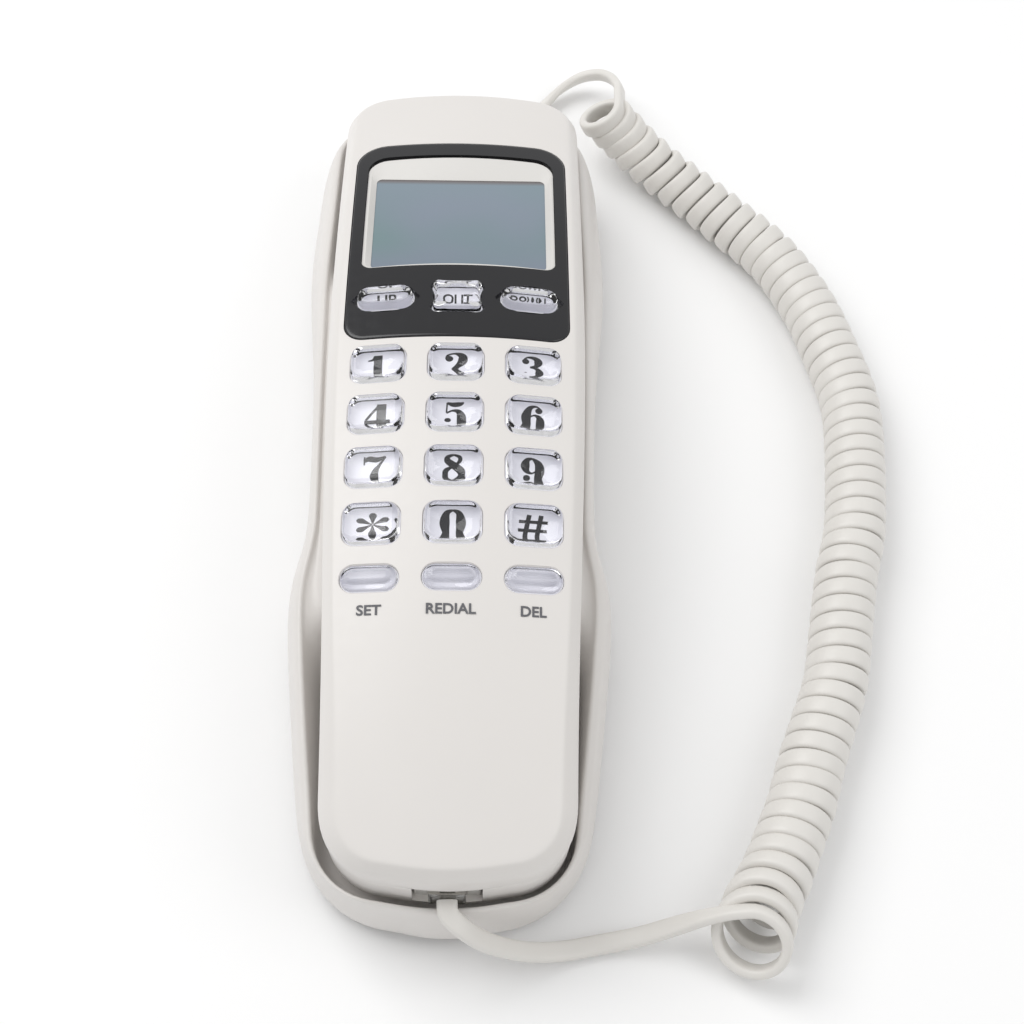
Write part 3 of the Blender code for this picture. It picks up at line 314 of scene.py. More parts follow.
def make_cord():
    """Whole cord as one flat ribbon: handset's lead, the coil's turns and the base's lead."""
    rings = all_rings()
    at = coil_frames(rings)
    last_turn = len(rings) - 1
    count = round(last_turn * TURN_STEPS)
    coil = [at(last_turn * i / count) for i in range(count + 1)]
    coil_path = [p for p, _ in coil]
    coil_widths = [w for _, w in coil]
    entry = [Vector(p) for p in HANDSET_LEAD] + [coil_path[0], coil_path[4]]
    dense, lengths = dense_route(entry)
    stop = lengths[ROUTE_STEPS * len(HANDSET_LEAD)]
    pieces = round(stop / LEAD_STEP)
    first = [at_length(dense, lengths, stop * i / pieces) for i in range(pieces)]
    ahead = (coil_path[1] - coil_path[0]).normalized()
    twist = turn_between(flat_width(ahead), coil_widths[0], ahead)
    first_widths = lead_widths(first, lambda part: twist * smoothstep((part - 0.6) / 0.4))
    leave = [coil_path[-5], coil_path[-1]] + [Vector(p) for p in BASE_LEAD]
    dense, lengths = dense_route(leave)
    begin = lengths[ROUTE_STEPS]
    pieces = round((lengths[-1] - begin) / LEAD_STEP)
    last = [at_length(dense, lengths, begin + (lengths[-1] - begin) * i / pieces)
            for i in range(1, pieces + 1)]
    ahead = (coil_path[-1] - coil_path[-2]).normalized()
    end_twist = turn_between(flat_width(ahead), coil_widths[-1], ahead)
    last_widths = lead_widths(last, lambda part: end_twist * (1 - smoothstep((part - 0.45) / 0.5)))
    path = first + coil_path + last
    widths = first_widths + coil_widths + last_widths
    sides = CORD_SIDES
    verts = []
    for k, p in enumerate(path):
        ahead = direction(path, k)
        out = ahead.cross(widths[k]).normalized()
        wide = out.cross(ahead)
        for i in range(sides):
            angle = 2 * math.pi * (i + 0.5) / sides
            c, s = math.cos(angle), math.sin(angle)
            across = math.copysign(abs(c) ** 0.5, c) * CORD_WIDTH / 2
            thick = math.copysign(abs(s) ** 0.6, s) * CORD_THICKNESS / 2
            verts.append((p + wide * across + out * thick) * MM)
    faces = []
    for k in range(len(path) - 1):
        faces += band(ring(k * sides, sides), ring((k + 1) * sides, sides))
    faces.append(tuple(range(sides)))
    faces.append(tuple(reversed(range((len(path) - 1) * sides, len(path) * sides))))
    cord = new_object("curly_cord", verts, faces, "cord", sharp=70)
    length = sum((b - a).length for a, b in zip(path, path[1:])) * MM
    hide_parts("handset_lead", "cord_coil", "base_lead")
    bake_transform(cord)
    return cord


# ---------------------------------------------------------------- materials

finishes = {}


def nodes_of(name, colour, roughness, **sockets):
    """Start a material with its Principled shader set; gives its node tree and the shader."""
    made = bpy.data.materials.new(name)
    made.use_nodes = True
    shader = made.node_tree.nodes["Principled BSDF"]
    shader.inputs["Base Color"].default_value = (*colour, 1.0)
    shader.inputs["Roughness"].default_value = roughness
    for socket, value in sockets.items():
        shader.inputs[socket.replace("_", " ")].default_value = value
    finishes[name] = made
    return made.node_tree, shader


def new_node(tree, kind, data_type=None, **sockets):
    """New shader node; each named socket takes a value, or a link where an output is given."""
    made = tree.nodes.new("ShaderNode" + kind)
    if data_type:
        made.data_type = data_type
    for socket, value in sockets.items():
        target = made.inputs[socket.replace("_", " ")]
        if isinstance(value, bpy.types.NodeSocket):
            tree.links.new(value, target)
        else:
            target.default_value = value
    return made


def object_place(tree):
    return new_node(tree, "TexCoord").outputs["Object"]


def noise(tree, scale, detail=3.0):
    return new_node(tree, "TexNoise", Scale=scale, Detail=detail, Vector=object_place(tree)).outputs["Fac"]


def ranged(tree, source, low, high, from_low=0.3, from_high=0.7):
    return new_node(tree, "MapRange", From_Min=from_low, From_Max=from_high, To_Min=low, To_Max=high,
                    Value=source).outputs["Result"]


def mixed(tree, share, a, b):
    """Blend of two colours, each a triple or another node's output."""
    a, b = (colour if isinstance(colour, bpy.types.NodeSocket) else (*colour, 1.0) for colour in (a, b))
    return new_node(tree, "Mix", "RGBA", A=a, B=b, Factor=share).outputs["Result"]


def bump(tree, shader, source, strength, distance):
    made = new_node(tree, "Bump", Strength=strength, Distance=distance, Height=source)
    tree.links.new(made.outputs["Normal"], shader.inputs["Normal"])


def plastic(name, colour, other, roughness, grain=2600.0, depth=0.012 * MM, strength=0.35, **sockets):
    """Moulded plastic: faint cloudy colour, uneven gloss and a fine spark-eroded grain."""
    tree, shader = nodes_of(name, colour, roughness, **sockets)
    tree.links.new(mixed(tree, noise(tree, 55.0), colour, other), shader.inputs["Base Color"])
    tree.links.new(ranged(tree, noise(tree, 420.0, 5.0), roughness - 0.04, roughness + 0.05),
                   shader.inputs["Roughness"])
    bump(tree, shader, noise(tree, grain, 2.0), strength, depth)


def make_materials():
    plastic("shell", (0.735, 0.71, 0.685), (0.72, 0.695, 0.67), 0.36)
    plastic("cradle", (0.725, 0.70, 0.675), (0.71, 0.685, 0.66), 0.38)
    plastic("bezel", (0.016, 0.016, 0.018), (0.013, 0.013, 0.015), 0.14, strength=0.1)
    plastic("cream", (0.70, 0.685, 0.66), (0.68, 0.665, 0.64), 0.4)
    plastic("dark", (0.030, 0.029, 0.028), (0.045, 0.043, 0.040), 0.45)
    plastic("rubber", (0.045, 0.045, 0.045), (0.06, 0.06, 0.058), 0.75, grain=1500.0, strength=0.6)
    plastic("mat", (0.72, 0.72, 0.76), (0.70, 0.70, 0.74), 0.55)
    plastic("backing", (0.83, 0.83, 0.87), (0.81, 0.81, 0.855), 0.4)
    plastic("ink", (0.006, 0.006, 0.008), (0.010, 0.010, 0.012), 0.7, Specular_IOR_Level=0.1)
    plastic("legend", (0.10, 0.10, 0.11), (0.12, 0.12, 0.13), 0.55)
    plastic("cord", (0.735, 0.715, 0.68), (0.71, 0.69, 0.655), 0.42, grain=1800.0, strength=0.3)
    tree, shader = nodes_of("board", (0.03, 0.16, 0.06), 0.35)
    tracks = new_node(tree, "TexBrick", Scale=160.0, Color1=(0.03, 0.16, 0.06, 1),
                      Color2=(0.025, 0.13, 0.05, 1), Mortar=(0.07, 0.26, 0.10, 1), Vector=object_place(tree))
    tree.links.new(tracks.outputs["Color"], shader.inputs["Base Color"])
    tree, shader = nodes_of("metal", (0.62, 0.62, 0.63), 0.3, Metallic=1.0)
    tree.links.new(ranged(tree, noise(tree, 900.0), 0.24, 0.42), shader.inputs["Roughness"])
    for name, colour, rough in (("clear_key", (0.985, 0.985, 0.995), 0.012),
                                ("clear_plug", (0.93, 0.93, 0.91), 0.04)):
        tree, shader = nodes_of(name, colour, rough, IOR=1.49, Transmission_Weight=1.0)
        tree.links.new(ranged(tree, noise(tree, 700.0), rough - 0.006, rough + 0.008),
                       shader.inputs["Roughness"])
        let_light_through(tree, shader, colour)
    make_display_material()


def let_light_through(tree, shader, colour):
    """Let light reach what lies behind a clear piece, as the pieces are too small for traced caustics."""
    path = new_node(tree, "LightPath")
    either = new_node(tree, "Math")
    either.operation = "MAXIMUM"
    tree.links.new(path.outputs["Is Shadow Ray"], either.inputs[0])
    tree.links.new(path.outputs["Is Diffuse Ray"], either.inputs[1])
    passing = new_node(tree, "BsdfTransparent", Color=(*colour, 1.0))
    blend = new_node(tree, "MixShader")
    tree.links.new(either.outputs["Value"], blend.inputs[0])
    tree.links.new(shader.outputs["BSDF"], blend.inputs[1])
    tree.links.new(passing.outputs["BSDF"], blend.inputs[2])
    tree.links.new(blend.outputs["Shader"], tree.nodes["Material Output"].inputs["Surface"])


def make_display_material():
    """Idle liquid-crystal panel: grey-blue with faint green and violet patches, and a brown band of painted
    shade along its top edge.
    """
    tree, shader = nodes_of("lcd", (0.2, 0.27, 0.31), 0.12, Coat_Weight=0.6, Coat_Roughness=0.04)
    along = new_node(tree, "SeparateXYZ", Vector=object_place(tree)).outputs["Y"]
    patches = mixed(tree, ranged(tree, noise(tree, 38.0, 1.0), 0.0, 1.0),
                    (0.135, 0.225, 0.225), (0.20, 0.22, 0.295))
    lighter = mixed(tree, ranged(tree, along, 0.0, 0.75, 0.036, 0.066), patches, (0.21, 0.27, 0.315))
    # Brown band along the glass's top edge: painted shade from the frame above the recessed glass.
    top_shade_painted = mixed(tree, ranged(tree, along, 0.0, 0.85, 0.0676, 0.0688), lighter, (0.15, 0.125, 0.12))
    tree.links.new(top_shade_painted, shader.inputs["Base Color"])
    cells = new_node(tree, "TexBrick", Scale=900.0, Vector=object_place(tree))
    bump(tree, shader, cells.outputs["Fac"], 0.04, 0.01 * MM)


# ---------------------------------------------------------------- mesh helpers

def band(low, high):
    """Four-sided faces between two closed loops of as many vertex numbers."""
    count = len(low)
    return [(low[i], low[(i + 1) % count], high[(i + 1) % count], high[i]) for i in range(count)]


def ring(start, count):
    return list(range(start, start + count))


def tidy_mesh(mesh, finish, sharp):
    """One finish, smooth shading but for edges over the sharp angle in degrees."""
    mesh.materials.clear()
    mesh.materials.append(finish)
    mesh.shade_smooth()
    mesh.set_sharp_from_angle(angle=math.radians(sharp))


def linked(name, data):
    made = bpy.data.objects.new(name, data)
    bpy.context.scene.collection.objects.link(made)
    return made


def new_object(name, verts, faces, finish, sharp=35, place=None):
    """Closed mesh with its faces pointing out, smooth but for edges over the sharp angle."""
    mesh = bpy.data.meshes.new(name)
    mesh.from_pydata([tuple(v) for v in verts], [], faces)
    work = bmesh.new()
    work.from_mesh(mesh)
    bmesh.ops.remove_doubles(work, verts=work.verts, dist=1e-7)
    bmesh.ops.recalc_face_normals(work, faces=work.faces)
    work.to_mesh(mesh)
    work.free()
    tidy_mesh(mesh, finishes[finish], sharp)
    if place is not None:
        mesh.transform(place)
    return linked(name, mesh)


def joined(name, objects):
    """One mesh object made of several that don't touch each other."""
    work = bmesh.new()
    for part in objects:
        work.from_mesh(part.data)
    mesh = bpy.data.meshes.new(name)
    work.to_mesh(mesh)
    work.free()
    mesh.materials.append(objects[0].data.materials[0])
    for part in objects:
        bpy.data.objects.remove(part, do_unlink=True)
    return linked(name, mesh)


def plain_mesh(target):
    """Mesh of an object as its modifiers or its font make it."""
    bpy.context.view_layer.update()
    return bpy.data.meshes.new_from_object(target.evaluated_get(bpy.context.evaluated_depsgraph_get()))


def settled(target, subdivide=0, cutters=(), unions=(), sharp=35):
    """Apply subdivision, unions and cuts to target and leave one plain mesh."""
    if subdivide:
        smooth = target.modifiers.new("subdivide", "SUBSURF")
        smooth.levels = smooth.render_levels = subdivide
    for operation, tools in (("UNION", unions), ("DIFFERENCE", cutters)):
        for tool in tools:
            cut = target.modifiers.new("cut", "BOOLEAN")
            cut.operation = operation
            cut.solver = "EXACT"
            cut.object = tool
    mesh = plain_mesh(target)
    target.modifiers.clear()
    target.data = mesh
    for tool in list(cutters) + list(unions):
        bpy.data.objects.remove(tool, do_unlink=True)
    tidy_mesh(mesh, target.data.materials[0], sharp)


def rounded_rows(half_width, y0, y1, corner0, corner1, middle, crown=(0.0, 0.0), arc=6):
    """Rows (y, half-width, end crown) of a long outline with rounded corners and bowed ends."""
    rows = []
    y0 += crown[0]
    y1 -= crown[1]
    for k in range(arc + 1):
        angle = math.pi / 2 * k / arc
        y = y0 + corner0 * (1 - math.cos(angle))
        rows.append((y, half_width(y) - corner0 * (1 - math.sin(angle)), -crown[0] * math.cos(angle)))
    rows += [(y, half_width(y), 0.0) for y in middle if y0 + corner0 + 1e-4 < y < y1 - corner1 - 1e-4]
    for k in range(arc, -1, -1):
        angle = math.pi / 2 * k / arc
        y = y1 - corner1 * (1 - math.cos(angle))
        rows.append((y, half_width(y) - corner1 * (1 - math.sin(angle)), crown[1] * math.cos(angle)))
    return rows


def sheet_points(rows, columns, height, shift_x):
    grid = []
    for y, half, crown in rows:
        line = []
        for c in range(columns + 1):
            u = 2 * c / columns - 1
            x = half * u
            bowed = y + crown * (1 - u * u)
            line.append(Vector((x + shift_x, bowed, height(x, bowed))))
        grid.append(line)
    return grid


def loft(name, levels, finish, columns=8, shift_x=0.0):
    """Closed solid through levels of (rows, height); the first and last are whole sheets."""
    verts = []
    faces = []
    loops = []
    for k, (rows, height) in enumerate(levels):
        grid = sheet_points(rows, columns, height, shift_x)
        start = len(verts)
        wide = columns + 1
        if k in (0, len(levels) - 1):
            for row in grid:
                verts.extend(row)
            for r in range(len(grid) - 1):
                for c in range(columns):
                    a = start + r * wide + c
                    faces.append((a, a + 1, a + wide + 1, a + wide))
            index = [[start + r * wide + c for c in range(wide)] for r in range(len(grid))]
            loops.append(index[0] + [row[-1] for row in index[1:]] + list(reversed(index[-1][:-1]))
                         + [row[0] for row in reversed(index[1:-1])])
        else:
            edge = grid[0] + [row[-1] for row in grid[1:]] + list(reversed(grid[-1][:-1]))
            edge += [row[0] for row in reversed(grid[1:-1])]
            verts.extend(edge)
            loops.append(ring(start, len(edge)))
    for low, high in zip(loops, loops[1:]):
        faces += band(low, high)
    return new_object(name, verts, faces, finish)


def plate_outline(width, height, corner, arc=6, top_corner=None, between=0):
    """Rounded rectangle as (x, y) points, counter-clockwise from its right side."""
    corners = []
    for sx, sy, start in ((1, -1, -90), (1, 1, 0), (-1, 1, 90), (-1, -1, 180)):
        radius = top_corner if sy > 0 and top_corner else corner
        angles = [math.radians(start + 90 * k / arc) for k in range(arc + 1)]
        corners.append([(sx * (width / 2 - radius) + radius * math.cos(a),
                         sy * (height / 2 - radius) + radius * math.sin(a)) for a in angles])
    points = []
    for bend, following in zip(corners, corners[1:] + corners[:1]):
        (x0, y0), (x1, y1) = bend[-1], following[0]
        points += bend
        points += [(x0 + (x1 - x0) * k / (between + 1), y0 + (y1 - y0) * k / (between + 1))
                   for k in range(1, between + 1)]
    return points


def stacked(name, levels, finish, place=None, sharp=35):
    """Solid through levels of (outline, z or its height over (x, y)), all of as many points."""
    verts = [(x, y, z(x, y) if callable(z) else z) for outline, z in levels for x, y in outline]
    count = len(levels[0][0])
    faces = []
    for r in range(len(levels) - 1):
        faces += band(ring(r * count, count), ring((r + 1) * count, count))
    for start in (0, (len(levels) - 1) * count):
        faces += [(len(verts), start + i, start + (i + 1) % count) for i in range(count)]
        verts.append(tuple(sum(axis) / count for axis in zip(*verts[start:start + count])))
    return new_object(name, verts, faces, finish, sharp, place)


def block(name, low, high, finish="dark", corner=0.4 * MM):
    place = Matrix.Translation(((low[0] + high[0]) / 2, (low[1] + high[1]) / 2, 0))
    outline = plate_outline(high[0] - low[0], high[1] - low[1], corner, 3)
    return stacked(name, [(outline, low[2]), (outline, high[2])], finish, place)


def turned(name, profile, centre, finish="dark", sides=32):
    """Solid of revolution about Z through (radius, z) points, from the axis round to the axis."""
    verts = []
    faces = []
    rings = []
    for radius, z in profile:
        start = len(verts)
        if radius < 1e-9:
            verts.append((centre[0], centre[1], z))
            rings.append([start] * sides)
            continue
        for k in range(sides):
            angle = 2 * math.pi * k / sides
            verts.append((centre[0] + radius * math.cos(angle), centre[1] + radius * math.sin(angle), z))
        rings.append(ring(start, sides))
    for low, high in zip(rings, rings[1:]):
        for face in band(low, high):
            unique = tuple(dict.fromkeys(face))
            if len(unique) > 2:
                faces.append(unique)
    return new_object(name, verts, faces, finish)


def cylinder(name, centre, radius, z0, z1, sides=24):
    return turned(name, [(0, z0), (radius, z0), (radius, z1), (0, z1)], centre, "dark", sides)


# ---------------------------------------------------------------- shapes shared by the shells

def half_width(y):
    widening = smoothstep((y - TAPER[0]) / (TAPER[1] - TAPER[0]))
    return HALF_WIDTH_BOTTOM + (HALF_WIDTH_TOP - HALF_WIDTH_BOTTOM) * widening


def face_z(x, y, drop=0.0):
    return FACE_HEIGHT - x * x / (2 * FACE_RADIUS_ACROSS) - y * y / (2 * FACE_RADIUS_ALONG) - drop


def skin(drop):
    return lambda x, y: face_z(x, y, drop)


def seam_z(y):
    return face_z(0, y, SEAM_DROP)


def above(base, rise=0.0):
    """Height function of (x, y) that stands a rise in millimetres over one of y alone."""
    return lambda x, y: base(y) + rise * MM


def underside_z(y):
    mouth = smoothstep((y - MOUTH_STEP[0]) / (MOUTH_STEP[1] - MOUTH_STEP[0]))
    ear = smoothstep((y - EAR_STEP[0]) / (EAR_STEP[1] - EAR_STEP[0]))
    height = MOUTH_UNDERSIDE + (GRIP_UNDERSIDE - MOUTH_UNDERSIDE) * mouth
    return height + (EAR_UNDERSIDE - GRIP_UNDERSIDE) * ear


FACE_STATIONS = [k * 10 * MM for k in range(-9, 10)]
SHELL_STATIONS = [y * MM for y in (-88, -80, -70, -60, -54, -49, -44, -38, -28, -14, 0, 14, 28, 38, 43, 48,
                                   53, 58, 62, 70, 80, 90)]


def handset_rows(inset, corner_bottom=13.5 * MM, corner_top=11 * MM, middle=FACE_STATIONS):
    return rounded_rows(lambda y: half_width(y) - inset, HANDSET_BOTTOM_Y + inset, HANDSET_TOP_Y - inset,
                        corner_bottom, corner_top, middle, crown=(1.4 * MM, 0.7 * MM))


def face_frame(x, y):
    """Matrix of the face's local frame at a point: X across, Y along, Z out of the face."""
    normal = Vector((x / FACE_RADIUS_ACROSS, y / FACE_RADIUS_ALONG, 1)).normalized()
    along = Vector((0, 1, -y / FACE_RADIUS_ALONG)).normalized()
    across = along.cross(normal).normalized()
    along = normal.cross(across)
    made = Matrix((across, along, normal)).transposed().to_4x4()
    made.translation = Vector((x + SEAT_X, y, face_z(x, y)))
    return made


# ---------------------------------------------------------------- handset

DIGITS = ["1", "2", "3", "4", "5", "6", "7", "8", "9", "star", "0", "hash"]
KEYPAD = [(name, ((k % 3 - 1) * COLUMN_PITCH, FIRST_ROW_Y - k // 3 * ROW_PITCH), DIGIT_KEY)
          for k, name in enumerate(DIGITS)]
KEYPAD += [(name, ((k - 1) * COLUMN_PITCH, FUNCTION_ROW_Y), FUNCTION_KEY)
           for k, name in enumerate(["set", "redial", "delete"])]
BEZEL_KEYS = [("up", (-BEZEL_COLUMN, BEZEL_ROW_Y), ARROW_KEY),
              ("out", (0.0, BEZEL_ROW_Y), OUT_KEY),
              ("down", (BEZEL_COLUMN, BEZEL_ROW_Y), ARROW_KEY)]


def key_outline(name, size, grow=0.0):
    """Outline of a key; the middle one on the bezel has hollow sides and bowed ends."""
    width, height, corner = size
    outline = plate_outline(width + 2 * grow, height + 2 * grow, max(corner + grow, 0.5 * MM), between=4)
    if name != "out":
        return outline
    shaped = []
    for x, y in outline:
        side = smoothstep(1 - abs(y) / (height * 0.42)) * smoothstep((abs(x) / width - 0.3) / 0.1)
        end = (1 - min(1.0, abs(x) / (width / 2)) ** 2) * smoothstep((abs(y) / height - 0.3) / 0.1)
        shaped.append((x - math.copysign(0.75 * MM * side, x), y + math.copysign(0.5 * MM * (end - 0.9), y)))
    return shaped


def key_hole(name, centre, size):
    """Cutter for a key's hole, flared a little where it meets the face."""
    tight = key_outline(name, size, KEY_HOLE_GAP)
    flare = key_outline(name, size, KEY_HOLE_GAP + 0.35 * MM)
    wide = key_outline(name, size, KEY_HOLE_GAP + 0.9 * MM)
    levels = [(tight, -8 * MM), (tight, -0.42 * MM), (flare, -0.04 * MM), (wide, 0.6 * MM)]
    return stacked("hole_" + name, levels, "dark", face_frame(*centre))


def bevel_rows(inset, corner_bottom, corner_top):
    """Rows of a line on the bevel (millimetres), which spreads on the sides near the bottom end."""
    def width(y):
        return half_width(y) - inset * MM * (1 + 0.55 * smoothstep((-45 * MM - y) / (50 * MM)))
    return rounded_rows(width, HANDSET_BOTTOM_Y + 0.65 * inset * MM, HANDSET_TOP_Y - inset * MM,
                        corner_bottom * MM, corner_top * MM, FACE_STATIONS, crown=(1.4 * MM, 0.7 * MM))


def make_front_cover():
    """Domed face with a soft-edged bevel all round, open for the bezel and the keys."""
    cover = loft("front_shell", [
        (handset_rows(0.6 * MM), above(seam_z)),
        (handset_rows(0.12 * MM), above(seam_z)),
        (handset_rows(0.02 * MM), above(seam_z, 0.3)),
        (handset_rows(0.0), skin(BEVEL_DROP + 1.2 * MM)),
        (handset_rows(0.0), skin(BEVEL_DROP)),
        (bevel_rows(0.25, 13.2, 10.75), skin(2.6 * MM)),
        (bevel_rows(0.7, 12.6, 10.3), skin(1.95 * MM)),
        (bevel_rows(1.75, 11.0, 9.25), skin(0.55 * MM)),
        (bevel_rows(2.25, 10.3, 8.75), skin(0.12 * MM)),
        (bevel_rows(2.8, 9.7, 8.2), skin(0.0)),
        (bevel_rows(3.6, 9.0, 7.6), skin(0.0)),
        (bevel_rows(5.0, 8.2, 6.6), skin(0.0)),
    ], "shell", shift_x=SEAT_X)
    hollow = loft("front_hollow", [
        (handset_rows(COVER_WALL), above(seam_z, -3)),
        (handset_rows(COVER_WALL), skin(5.6 * MM)),
        (handset_rows(COVER_WALL + 1.2 * MM, 9 * MM, 8 * MM), skin(COVER_WALL)),
    ], "shell", columns=4, shift_x=SEAT_X)
    opening = stacked("bezel_opening", [(bezel_outline(BEZEL_GAP), z) for z in (30 * MM, 60 * MM)],
                      "dark", Matrix.Translation((SEAT_X, sum(BEZEL_Y) / 2, 0)))
    holes = joined("key_holes", [key_hole(*key) for key in KEYPAD])
    settled(cover, subdivide=1, cutters=(hollow, opening, holes), sharp=38)
    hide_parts("front_cover")
    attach(cover, "handset")


def make_rear_cover():
    """Underside of the handset: mouthpiece and earpiece bulges with a grip between them."""
    def level(inset, corner_bottom, corner_top, height):
        return handset_rows(inset * MM, corner_bottom * MM, corner_top * MM, SHELL_STATIONS), height
    cover = loft("rear_shell", [
        level(6.6, 9.0, 8.5, above(underside_z)),
        level(5.5, 9.6, 9, above(underside_z, 0.08)),
        level(3.6, 10.9, 9.6, above(underside_z, 0.7)),
        level(2.2, 12, 10, above(underside_z, 1.7)),
        level(1.3, 12.8, 10.5, above(underside_z, 3.3)),
        level(0.7, 13.5, 11, above(underside_z, 5.5)),
        level(0.3, 13.5, 11, lambda x, y: seam_z(y) - SEAM_GAP - 0.5 * MM),
        level(0.5, 13.5, 11, lambda x, y: seam_z(y) - SEAM_GAP),
        level(1.2, 13.0, 10.6, lambda x, y: seam_z(y) - SEAM_GAP),
    ], "shell", shift_x=SEAT_X)
    hollow = loft("rear_hollow", [
        level(6, 9, 8, above(underside_z, 2)),
        level(2.9, 12, 9, above(underside_z, 5.5)),
        level(2.2, 13, 9.5, above(seam_z, 2)),
    ], "shell", columns=4, shift_x=SEAT_X)
    holes = [block("jack_window", (SEAT_X - JACK_WINDOW / 2, -109 * MM, 17.8 * MM),
                   (SEAT_X + JACK_WINDOW / 2, -103 * MM, 30 * MM), "dark", 0.2 * MM)]
    seats = []
    for k, (x, y) in enumerate(HANDSET_SCREW_PLACES):
        floor = underside_z(y)
        centre = (x + SEAT_X, y)
        seats.append(cylinder(f"seat_{k + 1}", centre, 4.4 * MM, floor + 1 * MM, floor + 4.6 * MM))
        holes.append(turned(f"sink_{k + 1}", [(0, floor - 1 * MM), (3.4 * MM, floor - 1 * MM),
                                              (3.1 * MM, floor + 0.4 * MM), (3.1 * MM, floor + 2.2 * MM),
                                              (1.8 * MM, floor + 2.2 * MM), (1.8 * MM, floor + 6 * MM),
                                              (0, floor + 6 * MM)], centre))
    for y, rings in ((EAR_Y, ((0, 1), (3.4, 6), (6.8, 12))), (MOUTH_Y, ((0, 1), (3.0, 6)))):
        floor = underside_z(y)
        for radius, count in rings:
            for k in range(count):
                angle = 2 * math.pi * k / count
                spot = (SEAT_X + radius * MM * math.cos(angle), y + radius * MM * math.sin(angle))
                holes.append(cylinder(f"sound_{len(holes)}", spot, 0.8 * MM, floor - 1 * MM,
                                      floor + 4 * MM, 12))
    settled(cover, subdivide=1, unions=(joined("seats", seats),),
            cutters=(hollow, joined("rear_holes", holes)), sharp=38)
    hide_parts("rear_cover")
    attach(cover, "handset")


def bezel_outline(grow):
    return plate_outline(2 * (BEZEL_HALF_WIDTH + grow), BEZEL_Y[1] - BEZEL_Y[0] + 2 * grow,
                         BEZEL_CORNER[0] + grow, 8, BEZEL_CORNER[1] + grow)


def bezel_rows(inset):
    middle = [BEZEL_Y[0] + k * 6 * MM for k in range(1, 11)]
    return rounded_rows(lambda y: BEZEL_HALF_WIDTH - inset, BEZEL_Y[0] + inset, BEZEL_Y[1] - inset,
                        BEZEL_CORNER[0] - inset, BEZEL_CORNER[1] - inset, middle, arc=8)


def window_outline(grow):
    return plate_outline(2 * (WINDOW_HALF_WIDTH + grow), WINDOW_Y[1] - WINDOW_Y[0] + 2 * grow,
                         WINDOW_CORNER[0] + grow, 6, WINDOW_CORNER[1] + grow, between=12)


def lens_outline(width, height, arc=16):
    """Pointed oval as (x, y) points."""
    bow = (width * width / 4 + height * height / 4) / height
    reach = math.asin(width / 2 / bow)
    points = []
    for turn in (0, math.pi):
        for k in range(arc):
            angle = -reach + 2 * reach * k / arc
            x = bow * math.sin(angle)
            y = height / 2 - bow + bow * math.cos(angle)
            points.append((-x * math.cos(turn), y * math.cos(turn)))
    return list(reversed(points))


def make_bezel():
    """Glossy dark panel that follows the face, with the display's window and the key holes."""
    bezel = loft("display_surround", [
        (bezel_rows(0.0), skin(BEZEL_THICKNESS)),
        (bezel_rows(0.0), skin(0.25 * MM)),
        (bezel_rows(0.12 * MM), skin(-0.02 * MM)),
        (bezel_rows(0.4 * MM), skin(-0.13 * MM)),
        (bezel_rows(0.9 * MM), skin(-0.15 * MM)),
    ], "bezel", columns=16, shift_x=SEAT_X)
    middle_y = sum(WINDOW_Y) / 2
    top = face_z(0, middle_y)
    holes = [stacked("window_opening", [(window_outline(0.0), z) for z in (top - 12 * MM, top + 8 * MM)],
                     "dark", Matrix.Translation((SEAT_X, middle_y, 0)))]
    holes += [key_hole(*key) for key in BEZEL_KEYS]
    wide, narrow = lens_outline(16.6 * MM, 8.6 * MM), lens_outline(14.8 * MM, 7.4 * MM)
    wells = [stacked("well_" + name, [(narrow, -0.6 * MM), (wide, 0.1 * MM), (wide, 1.2 * MM)], "dark",
                     face_frame(*centre)) for name, centre, _ in BEZEL_KEYS if name != "out"]
    settled(bezel, subdivide=1, cutters=(joined("bezel_holes", holes), joined("wells", wells)), sharp=30)
    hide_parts("display_bezel")
    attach(bezel, "handset")


def make_display():
    """Cream tray that fills the window and slopes down all round to the display's glass."""
    rows = rounded_rows(lambda y: 23.8 * MM, 33.2 * MM, 77.6 * MM, 2 * MM, 2 * MM,
                        [k * 4 * MM for k in range(9, 19)], arc=3)
    tray = loft("display_tray", [
        (rows, lambda x, y: face_z(0, y, GLASS_DEPTH + GLASS_THICKNESS + 1.5 * MM)),
        (rows, skin(BEZEL_THICKNESS + 0.3 * MM)),
    ], "cream", columns=12, shift_x=SEAT_X)
    glass_y = sum(GLASS_Y) / 2
    place = face_frame(0, glass_y)
    shift = sum(WINDOW_Y) / 2 - glass_y

    def window(grow):
        return [(x, y + shift) for x, y in window_outline(grow)]

    def dome(drop):
        return lambda x, y: -x * x / (2 * FACE_RADIUS_ACROSS) - y * y / (2 * FACE_RADIUS_ALONG) - drop
    height = GLASS_Y[1] - GLASS_Y[0]
    level = -GLASS_DEPTH - height ** 2 / (8 * FACE_RADIUS_ALONG)
    opening = plate_outline(2 * GLASS_HALF_WIDTH - 0.5 * MM, height - 2.2 * MM, 1.5 * MM, between=12)
    collar = stacked("tray_collar", [(window(-BEZEL_GAP), dome(drop)) for drop in (3.6 * MM, 0.3 * MM)],
                     "cream", place)
    slope = stacked("tray_slope", [
        (opening, level - 9 * MM), (opening, level + 0.12 * MM),
        (window(-0.75 * MM), dome(0.32 * MM)), (window(-0.55 * MM), dome(-2 * MM)),
    ], "dark", place)
    room = stacked("glass_room", [(plate_outline(2 * GLASS_HALF_WIDTH + 0.5 * MM, height, 1.4 * MM), z)
                                  for z in (level - 9 * MM, level + 0.06 * MM)], "dark", place)
    settled(tray, unions=(collar,), cutters=(slope, room), sharp=30)
    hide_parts("display_frame")
    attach(tray, "handset")


